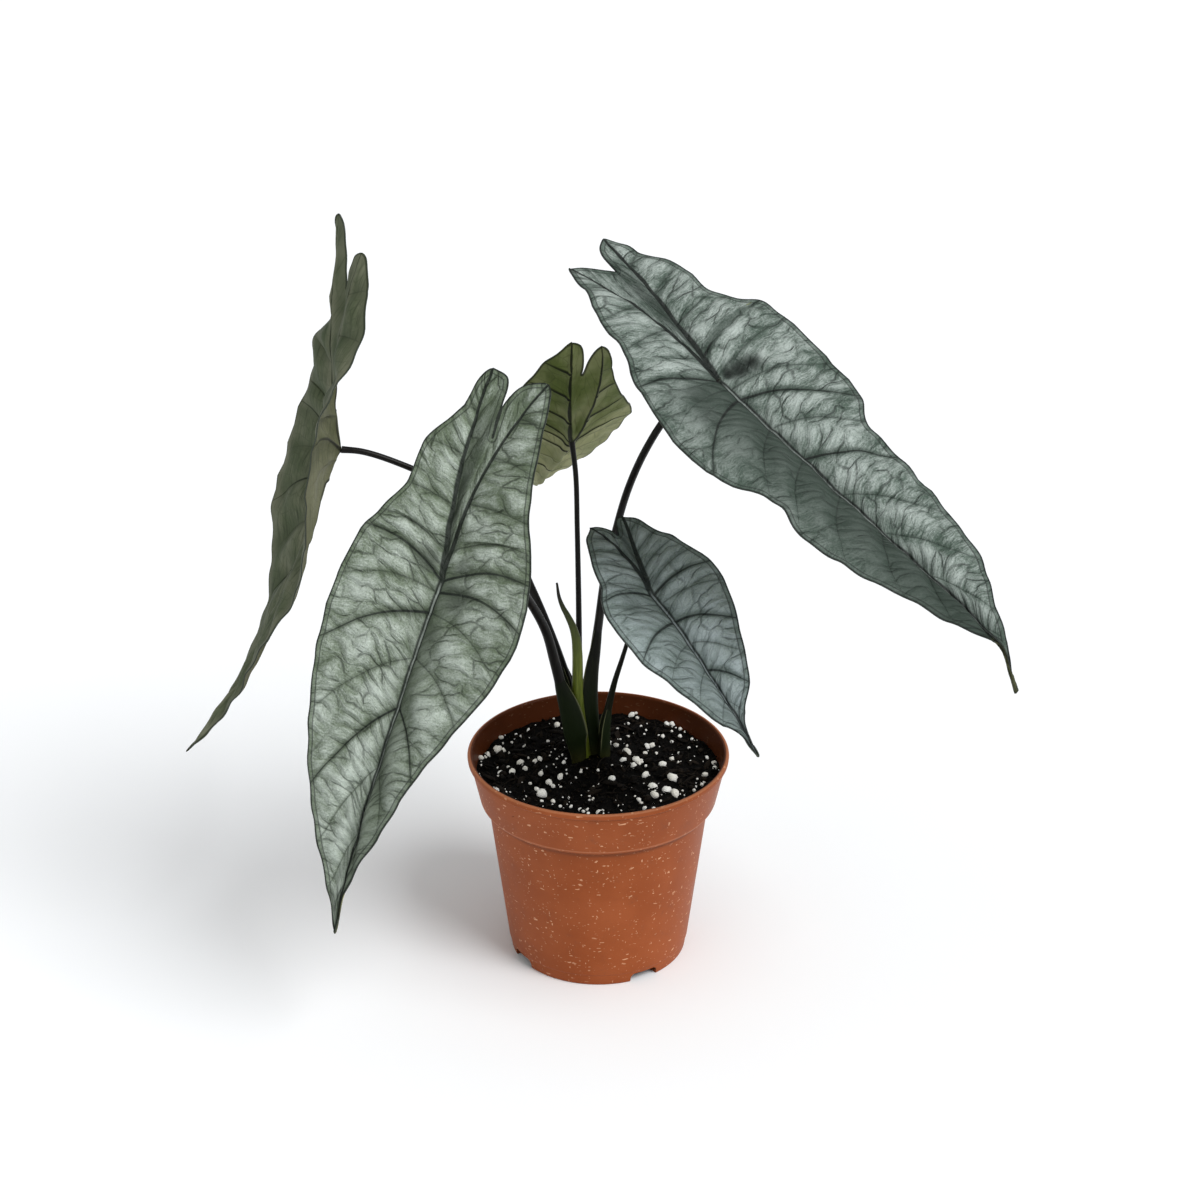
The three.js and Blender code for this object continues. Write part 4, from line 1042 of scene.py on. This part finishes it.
def tube(name, places, radii, roundness=5):
    """A closed round tube along a line of places, drawn as a curve and then made a mesh."""
    bpy.ops.curve.primitive_nurbs_path_add()
    drawn = bpy.context.object
    drawn.name = name
    drawn.data.splines.clear()
    spline = drawn.data.splines.new("POLY")
    spline.points.add(len(places) - 1)
    for point, place, radius in zip(spline.points, places, radii):
        point.co = (*(place * MM), 1.0)
        point.radius = radius
    drawn.data.bevel_depth = MM
    drawn.data.bevel_resolution = roundness
    drawn.data.use_fill_caps = True
    pick(drawn)
    bpy.ops.object.convert(target="MESH")
    return bpy.context.object


def stalk(name, material):
    """A stalk, a little wider where it meets its blade, that ends 1 mm short of the joint."""
    places, radii = stalk_line(STALKS[name])
    ahead = places[-1] - places[-3]
    places[-1] -= ahead / np.linalg.norm(ahead)
    left = np.linalg.norm(places - places[-1], axis=-1)
    radii = radii * (1 + STALK_END["swell"] * np.exp(-left / STALK_END["reach"]))
    piece = tube(f"petiole_{name}", places, radii)
    return finish_piece(piece, [material], [f"stalk_{name}"], angle=50)


def wrapped(name, line, angles, radii):
    """A sheet round a line, with the column of each of its points. For each place of the line it has
    points at these radii and at these angles, which turn from -X towards +Y."""
    ahead = np.gradient(line, axis=0)
    ahead /= np.linalg.norm(ahead, axis=-1, keepdims=True)
    side = np.cross(ahead, [0.0, 1.0, 0.0])
    side /= np.linalg.norm(side, axis=-1, keepdims=True)
    back = np.cross(side, ahead)
    sheet, i, j = grid_sheet(*angles.shape)
    sheet.name = name
    a, r = np.radians(angles[i, j])[:, None], radii[i, j][:, None]
    set_places(sheet.data, (line[i] + r * (side[i] * np.cos(a) + back[i] * np.sin(a))) * MM)
    return sheet, j


def sheath(name, material):
    """The sheath round a stalk's foot: it hugs the stalk, and its two free edges stand away from it."""
    spec = SHEATHS[name]
    places, radii = stalk_line(STALKS[name], 20)
    heights = np.array(spec["reach"], float)
    keep = (places[:, 2] >= heights[0, 0]) & (places[:, 2] <= heights[-1, 0])
    places, radii = places[keep], radii[keep]
    reach = np.interp(places[:, 2], heights[:, 0], heights[:, 1])
    done = (places[:, 2] - heights[0, 0]) / (heights[-1, 0] - heights[0, 0])
    s = np.linspace(0, 1, SHEATH_COLUMNS)
    round_it = 360 - 2 * spec["gap"]
    angles = spec["opens"] + spec["gap"] + s * round_it
    from_edge = np.minimum(s, 1 - s) * round_it
    flare = np.clip(1 - from_edge / SHEATH_FLARE, 0, 1) ** 1.6
    lift = SHEATH_LIFT - SHEATH_DIP * np.clip((done - 0.75) / 0.25, 0, 1) ** 2
    wide = radii[:, None] + lift[:, None] + reach[:, None] * flare[None, :]
    sheet, j = wrapped(f"sheath_{name}", places, np.tile(angles, (len(places), 1)), wide)
    carry(sheet.data, "edge", from_edge[j] / 360 * SHEATH_GIRTH)
    apply_modifier(sheet, "SOLIDIFY", thickness=SHEATH_THICKNESS * MM, offset=0)
    apply_modifier(sheet, "SUBSURF", levels=1, render_levels=1)
    return finish_piece(sheet, [material])


def spear(material):
    """The rolled new leaf: its outer edge laps over the roll along a slanting seam."""
    places, radii = stalk_line(SPEAR, 16)
    s = np.linspace(0, 1, SPEAR_COLUMNS)
    climb = np.linspace(0, 1, len(places))
    angles = SPEAR_ROLL["start"] + SPEAR_ROLL["slant"] * climb[:, None] + SPEAR_ROLL["sweep"] * s
    wide = radii[:, None] * (0.84 + 0.2 * s)
    sheet, j = wrapped("rolled_leaf", places, angles, wide)
    carry(sheet.data, "edge", (1 - s)[j] * SPEAR_GIRTH)
    apply_modifier(sheet, "SOLIDIFY", thickness=SPEAR_THICKNESS * MM, offset=-1)
    return finish_piece(sheet, [material], ["new_leaf_spear"])


def crown(material):
    """The crown: a ringed knob with the dry tips of old husk leaves round it."""
    middle = Vector((CROWN["x"], CROWN["y"], CROWN["foot"] + CROWN["height"] / 2))
    bpy.ops.mesh.primitive_cylinder_add(vertices=48, radius=CROWN["radius"] * MM,
                                        depth=CROWN["height"] * MM, location=middle * MM)
    knob = bpy.context.object
    apply_place(knob)
    bpy.ops.object.mode_set(mode="EDIT")
    bpy.ops.mesh.select_all(action="SELECT")
    bpy.ops.mesh.subdivide(number_cuts=5)
    bpy.ops.object.mode_set(mode="OBJECT")
    places = place_array(knob.data) / MM
    across = places[:, :2] - [CROWN["x"], CROWN["y"]]
    high = np.clip((places[:, 2] - CROWN["shoulder"]) / 7.5, 0, 1)
    turn = np.arctan2(across[:, 1], across[:, 0])
    shrink = 1 - 0.4 * high ** 2 + 0.03 * np.sin(places[:, 2] * 2.4) + 0.04 * np.sin(5 * turn)
    places[:, :2] = [CROWN["x"], CROWN["y"]] + across * shrink[:, None]
    set_places(knob.data, places * MM)
    husks = [knob]
    draw = random.Random(5)
    for k in range(HUSKS["count"]):
        turn = k * HUSKS["apart"] + draw.uniform(-12, 12)
        bpy.ops.mesh.primitive_grid_add(x_subdivisions=8, y_subdivisions=10, size=1)
        husk = bpy.context.object
        flat = place_array(husk.data)
        up = flat[:, 1] + 0.5
        angle = np.radians(turn + flat[:, 0] * 58 * (1 - up ** 2.2))
        out = CROWN["radius"] - 1.2 - 1.6 * up
        high = HUSKS["foot"] + up * draw.uniform(7, 13)
        ring = [CROWN["x"] + out * np.cos(angle), CROWN["y"] + out * np.sin(angle), high]
        set_places(husk.data, np.stack(ring, -1) * MM)
        apply_modifier(husk, "SOLIDIFY", thickness=HUSKS["thickness"] * MM, offset=0)
        husks.append(husk)
    made = join("crown", husks)
    return finish_piece(made, [material], ["corm"], angle=60)


# The pot


def turned(name, profile, segments):
    """Raises a ring along a profile of [radius, height], and closes it at both ends."""
    bpy.ops.mesh.primitive_circle_add(vertices=segments, radius=profile[0][0] * MM,
                                      location=(0, 0, profile[0][1] * MM))
    piece = bpy.context.object
    piece.name = name
    apply_place(piece)
    bpy.ops.object.mode_set(mode="EDIT")
    bpy.ops.mesh.select_all(action="SELECT")
    for (radius, height), (wide, high) in zip(profile, profile[1:]):
        bpy.ops.mesh.extrude_edges_move(TRANSFORM_OT_translate={"value": (0, 0, (high - height) * MM)})
        grow = wide / radius
        bpy.ops.transform.resize(value=(grow, grow, 1), center_override=(0, 0, 0))
    bpy.ops.mesh.select_all(action="SELECT")
    bpy.ops.mesh.fill_holes(sides=0)
    bpy.ops.mesh.normals_make_consistent(inside=False)
    bpy.ops.object.mode_set(mode="OBJECT")
    return piece


def arc(centre, radius, start, stop, count):
    """Points [radius, height] round a fillet, from one angle to another in degrees."""
    steps = [math.radians(start + (stop - start) * k / count) for k in range(count + 1)]
    return [[centre[0] + radius * math.cos(a), centre[1] + radius * math.sin(a)] for a in steps]


def pot_profile():
    """The wall's section: up the outside, over the rolled lip, and down the inside."""
    band_foot = POT_HEIGHT - RIM_BAND
    band_top = POT_HEIGHT - LIP_HEIGHT
    ring = FOOT_RADIUS + 0.6
    outside = [[FOOT_RADIUS * 0.35, 0], [FOOT_RADIUS - 1, 0]]
    outside += arc((FOOT_RADIUS - 0.8, 0.8), 0.8, -90, -8, 4)
    outside += [[ring, FOOT_RING_HEIGHT - 0.4], [ring + 0.05, FOOT_RING_HEIGHT],
                [ring + 0.4, FOOT_RING_HEIGHT + 0.45], [ring + 0.5, FOOT_RING_HEIGHT + 1]]
    top = band_foot - 4.2
    slope = (BODY_TOP_RADIUS - ring - 0.5) / (band_foot - FOOT_RING_HEIGHT - 3.4)
    outside += [[ring + 0.5 + slope * (top - FOOT_RING_HEIGHT - 1) * k / 6,
                 FOOT_RING_HEIGHT + 1 + (top - FOOT_RING_HEIGHT - 1) * k / 6] for k in range(1, 7)]
    outside += [[BODY_TOP_RADIUS - 0.1, band_foot - 3.2], [BODY_TOP_RADIUS + 0.25, band_foot - 2.4],
                [BODY_TOP_RADIUS + 0.9, band_foot - 1.6], [BODY_TOP_RADIUS + 2, band_foot - 0.9],
                [BAND_FOOT_RADIUS - 0.8, band_foot - 0.2], [BAND_FOOT_RADIUS - 0.2, band_foot + 0.5],
                [BAND_FOOT_RADIUS + 0.1, band_foot + 1.4]]
    outside += [[RIM_RADIUS - LIP_STEP - 0.15, band_top - 0.6], [RIM_RADIUS - LIP_STEP, band_top - 0.1],
                [RIM_RADIUS - 0.6, band_top + 0.35], [RIM_RADIUS - 0.15, band_top + 0.8]]
    round_lip = arc((RIM_RADIUS - LIP_WALL / 2, POT_HEIGHT - LIP_WALL / 2), LIP_WALL / 2, 0, 180, 10)
    inside = [[RIM_RADIUS - LIP_WALL - 0.3, band_top - 0.6],
              [BAND_FOOT_RADIUS - WALL, band_foot + 2 * WALL], [BODY_TOP_RADIUS - WALL, band_foot],
              [FOOT_RADIUS - WALL, BASE_THICKNESS], [FOOT_RADIUS * 0.3, BASE_THICKNESS]]
    return outside + round_lip + inside


def pot(material):
    """The pot, with the drainage notches cut through its foot."""
    piece = turned("nursery_pot", pot_profile(), POT_SEGMENTS)
    cutters = []
    for k in range(NOTCH["count"]):
        turn = math.radians(NOTCH["first"] + 360 / NOTCH["count"] * k - 90)
        reach = NOTCH["depth"] + NOTCH["outside"]
        out = FOOT_RADIUS + NOTCH["outside"] - reach / 2
        place = Vector((math.cos(turn), math.sin(turn), 0)) * out * MM
        size = Vector((reach, NOTCH["width"], 2 * NOTCH["height"])) * MM
        bpy.ops.mesh.primitive_cube_add(size=1, location=place, rotation=(0, 0, turn), scale=size)
        cutter = bpy.context.object
        apply_place(cutter)
        apply_modifier(cutter, "BEVEL", width=2.6 * MM, segments=5)
        cutters.append(cutter)
    cutter = join("notch_cutter", cutters)
    apply_modifier(piece, "BOOLEAN", operation="DIFFERENCE", object=cutter, solver="EXACT")
    bpy.data.objects.remove(cutter)
    places = place_array(piece.data) / MM
    band_foot = POT_HEIGHT - RIM_BAND
    wall = np.interp(places[:, 2], [0, band_foot - 3, band_foot + 2, POT_HEIGHT - LIP_HEIGHT, POT_HEIGHT],
                     [FOOT_RADIUS, BODY_TOP_RADIUS, BAND_FOOT_RADIUS, RIM_RADIUS - LIP_STEP,
                      RIM_RADIUS - LIP_WALL / 2 + WALL / 2])
    within = np.hypot(places[:, 0], places[:, 1]) < wall - WALL / 2
    carry(piece.data, "inside", within & (places[:, 2] > BASE_THICKNESS - 0.1))
    return finish_piece(piece, [material], ["pot"], angle=38)


# The potting mix


def mix_height(x, y):
    """The top of the mix, with a low mound about the crown."""
    level = MIX_LEVEL
    for middle, form in ((CROWN, MIX_MOUND), (CROWN_HEAP, CROWN_HEAP)):
        apart = (x - middle["x"]) ** 2 + (y - middle["y"]) ** 2
        level = level + form["height"] * np.exp(-apart / (2 * form["spread"] ** 2))
    waves = 0.7 * np.sin(x * 0.21 + 1) * np.cos(y * 0.17) + 0.4 * np.sin(x * 0.5 - y * 0.4)
    return level + waves


def mix_body(material):
    """The body of the mix: a plug that fills the pot, with a crumbly top."""
    profile = [[1.2, 2.4], [FOOT_RADIUS - WALL - 0.8, 2.4], [BODY_TOP_RADIUS - WALL - 1.2, 77],
               [MIX_RADIUS - 3, 82]]
    profile += [[MIX_RADIUS * (1 - k / MIX_RINGS) + 0.2, MIX_LEVEL] for k in range(MIX_RINGS)]
    piece = turned("potting_mix_top", profile, MIX_SEGMENTS)
    places = place_array(piece.data) / MM
    top = places[:, 2] > MIX_LEVEL - 0.01
    x, y = places[top, 0], places[top, 1]
    places[top, 2] = mix_height(x, y)
    set_places(piece.data, places * MM)
    pick(piece)
    group = piece.vertex_groups.new(name="top")
    group.add([int(i) for i in np.flatnonzero(top)], 1.0, "REPLACE")
    for size, strength in ((4.5, 1.7), (1.7, 1.1)):
        clods = bpy.data.textures.new(f"clods {size}", "CLOUDS")
        clods.noise_scale = size * MM
        clods.noise_depth = 3
        apply_modifier(piece, "DISPLACE", texture=clods, texture_coords="LOCAL", direction="Z",
                       strength=strength * MM, mid_level=0.5, vertex_group="top")
        bpy.data.textures.remove(clods)
    piece.vertex_groups.clear()
    return finish_piece(piece, [material], ["potting_mix"], angle=75)


def lump(detail, seed, squash=(1, 1, 1), jag=0.18):
    """One rough lump about 2 units across, to be copied."""
    bpy.ops.mesh.primitive_ico_sphere_add(subdivisions=detail, radius=1)
    piece = bpy.context.object
    places = place_array(piece.data)
    draw = np.random.default_rng(seed)
    places = places * (1 + draw.uniform(-jag, jag, (len(places), 1))) * np.array(squash)
    set_places(piece.data, places)
    return piece


def scattered(name, shapes, places, sizes, turns, tones, material):
    """Copies of a few shapes, each at its place with its size and turn, as one piece."""
    points, faces, shades = [], [], []
    count = 0
    forms = [(place_array(shape.data), [tuple(polygon.vertices) for polygon in shape.data.polygons])
             for shape in shapes]
    for k, (place, size, turn, tone) in enumerate(zip(places, sizes, turns, tones)):
        form, polygons = forms[k % len(forms)]
        turn = np.array(Euler(turn).to_matrix())
        points.append((form * size) @ turn.T + place)
        faces.extend(tuple(i + count for i in polygon) for polygon in polygons)
        shades.append(np.full(len(form), tone))
        count += len(form)
    mesh = bpy.data.meshes.new(name)
    mesh.from_pydata((np.vstack(points) * MM).tolist(), [], faces)
    carry(mesh, "tone", np.concatenate(shades))
    for shape in shapes:
        bpy.data.objects.remove(shape)
    piece = bpy.data.objects.new(name, mesh)
    bpy.context.scene.collection.objects.link(piece)
    return finish_piece(piece, [material], angle=75)


def free_places(draw, count, size, edge=LITTER_RADIUS):
    """Random places on the mix, clear of the crown."""
    found = []
    while len(found) < count:
        r, a = edge * math.sqrt(draw.random()), draw.uniform(0, 2 * math.pi)
        x, y = r * math.cos(a), r * math.sin(a)
        if math.hypot(x - CROWN["x"], y - CROWN["y"]) > CROWN["radius"] + size + 1:
            found.append([x, y])
    return found


def any_turn(draw, tilt):
    """A random turn of a loose bit that leans by up to tilt radians."""
    return draw.uniform(-tilt, tilt), draw.uniform(-tilt, tilt), draw.uniform(0, 6.3)


def perlite_grains(material):
    """The perlite: the larger grains where they lie, and small ones all over."""
    draw = random.Random(11)
    shapes = [lump(2, 1, (1, 0.85, 0.8)), lump(2, 2, (1.1, 0.8, 0.9)),
              lump(2, 3, (0.9, 1, 0.75), 0.24)]
    spots = [list(grain) for grain in PERLITE_GRAINS]
    spots += [[x, y, 0.28 + 0.5 * draw.random() ** 2] for x, y in free_places(draw, SMALL_GRAINS, 1)]
    places = [[x, y, mix_height(x, y) + 0.5 + 0.35 * r] for x, y, r in spots]
    sizes = [np.array([r * draw.uniform(0.95, 1.2), r * draw.uniform(0.85, 1.1), r]) for _, _, r in spots]
    turns = [any_turn(draw, 0.6) for _ in spots]
    tones = [draw.random() for _ in spots]
    return scattered("perlite_grains", shapes, places, sizes, turns, tones, material)


def bark_chips(material):
    """Chips of bark and crumbs of peat that lie on the mix at every angle."""
    draw = random.Random(23)
    shapes = [lump(1, 4, (1.6, 0.7, 0.35), 0.3), lump(1, 5, (1, 0.9, 0.7), 0.3),
              lump(1, 6, (2.2, 0.5, 0.3), 0.25)]
    spots = [[x, y, 0.9 + 1.5 * draw.random() ** 2] for x, y in free_places(draw, BARK_CHIPS, 2, 54)]
    spots += [[x, y, 0.35 + 0.5 * draw.random()] for x, y in free_places(draw, MIX_CRUMBS, 1)]
    places = [[x, y, mix_height(x, y) + 0.55 + draw.uniform(-0.2, 0.5) * r] for x, y, r in spots]
    sizes = [r * draw.uniform(0.8, 1.2) for _, _, r in spots]
    turns = [any_turn(draw, 0.7) for _ in spots]
    tones = [draw.random() ** 2.5 for _ in spots]
    return scattered("bark_chips", shapes, places, sizes, turns, tones, material)


def root_hairs(material):
    """Short shreds of fibre that lie in the mix."""
    draw = random.Random(31)
    pieces = []
    for x, y in free_places(draw, ROOT_HAIRS, 5, 50):
        heading, length = draw.uniform(0, 2 * math.pi), draw.uniform(5, 12)
        curve = draw.uniform(-0.12, 0.12)
        line = []
        for k in range(7):
            line.append([x, y, mix_height(x, y) + 0.9 + 0.5 * math.sin(k)])
            x += length / 6 * math.cos(heading)
            y += length / 6 * math.sin(heading)
            heading += curve * length / 6
        pieces.append(tube("fibre", np.array(line), [0.2] * 4 + [0.16, 0.12, 0.06], 0))
    made = join("root_fibres", pieces)
    carry(made.data, "tone", np.full(len(made.data.vertices), 0.9))
    return finish_piece(made, [material], angle=75)


# The studio


def studio():
    """A plain white floor, a broad soft light from the upper right, a fill, and the camera."""
    bpy.ops.mesh.primitive_plane_add(size=FLOOR_SIZE, location=(0, 0, 0))
    floor = bpy.context.object
    floor.name = "floor"
    paper, shader, _ = new_material("studio floor, matt white", 0.9, 0.2)
    shader.inputs["Base Color"].default_value = colour("#F6F8FA")
    floor.data.materials.append(paper)

    world = bpy.data.worlds.new("studio")
    world.use_nodes = True
    world.node_tree.nodes["Background"].inputs["Color"].default_value = colour("#FFFFFF")
    world.node_tree.nodes["Background"].inputs["Strength"].default_value = WORLD_LIGHT
    bpy.context.scene.world = world
    broad_light("key light", KEY_LIGHT)
    broad_light("side fill", FILL_LIGHT)

    lens = bpy.data.cameras.new("view")
    lens.lens = CAMERA["lens"]
    lens.sensor_width = 36
    view = bpy.data.objects.new("view", lens)
    view.location = Vector(CAMERA["place"]) * MM
    view.rotation_euler = Euler((math.radians(90 - CAMERA["down"]), 0, 0))
    bpy.context.scene.collection.objects.link(view)
    bpy.context.scene.camera = view
    bpy.context.scene.view_settings.view_transform = "Standard"


def broad_light(name, spec):
    """A far, broad light, so that it falls evenly and its shadows are soft."""
    lamp = bpy.data.lights.new(name, "SUN")
    lamp.energy = spec["power"]
    lamp.angle = math.radians(spec["breadth"])
    made = bpy.data.objects.new(name, lamp)
    made.rotation_euler = Vector(spec["from"]).to_track_quat("Z", "Y").to_euler()
    bpy.context.scene.collection.objects.link(made)


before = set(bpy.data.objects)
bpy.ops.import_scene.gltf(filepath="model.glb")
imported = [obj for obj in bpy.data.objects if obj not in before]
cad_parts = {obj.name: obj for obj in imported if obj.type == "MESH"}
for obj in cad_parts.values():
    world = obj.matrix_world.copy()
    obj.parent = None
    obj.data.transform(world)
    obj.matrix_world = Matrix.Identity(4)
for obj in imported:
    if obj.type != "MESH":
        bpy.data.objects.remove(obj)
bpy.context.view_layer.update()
deselect_all()
studio()

rim = leaf_rim()
olive = leaf_underside("leaf underside, olive", "#5A6636", "#A0A27A", "#12160A")
tan_olive = leaf_underside("leaf underside, tan olive", "#55583F", "#72735A", "#22231A", 0.5)
sage = leaf_skin("leaf skin, silver sage", "#C4CFC5", "#5F6D56", "#182019", -0.06, 0.56, 0.34)
silver_green = leaf_skin("leaf skin, silver green", "#B5C0BA", "#495A4F", "#111814", 0.0, 0.75)
blue_grey = leaf_skin("leaf skin, blue grey", "#B0BDC0", "#66766F", "#18211F", 0.1, 0.4, 0.4)
# The far left blade's top is painted plain dark green, not silver: painted shade, as it lies in shade
shaded_green_skin = leaf_underside("leaf skin, dark green, painted shade", "#475239", "#777A65", "#1B2313", 0.6, 0.45)
grey_green = leaf_skin("leaf skin, grey green", "#7F8C7D", "#4A5842", "#1C2219")
blade("front_left", [sage, olive, rim])
blade("right", [silver_green, olive, rim])
blade("small_front", [blue_grey, olive, rim])
blade("far_left", [shaded_green_skin, tan_olive, rim])
blade("rear", [grey_green, olive, rim])

dark_stalk = stalk_skin("petiole skin, purple black", "#161C0E", "#0D0B0A", (100, 150))
green_stalk = stalk_skin("petiole skin, dark green", "#1A200F", "#12130E", (110, 170))
membrane = sheath_skin()
for stalk_name in STALKS:
    stalk(stalk_name, green_stalk if stalk_name in STALK_SLOT else dark_stalk)
    sheath(stalk_name, membrane)
spear(spear_skin())
crown(crown_husk())

pot(pot_plastic())
mix_body(mix_earth())
chips = bark()
bark_chips(chips)
root_hairs(chips)
perlite_grains(perlite())
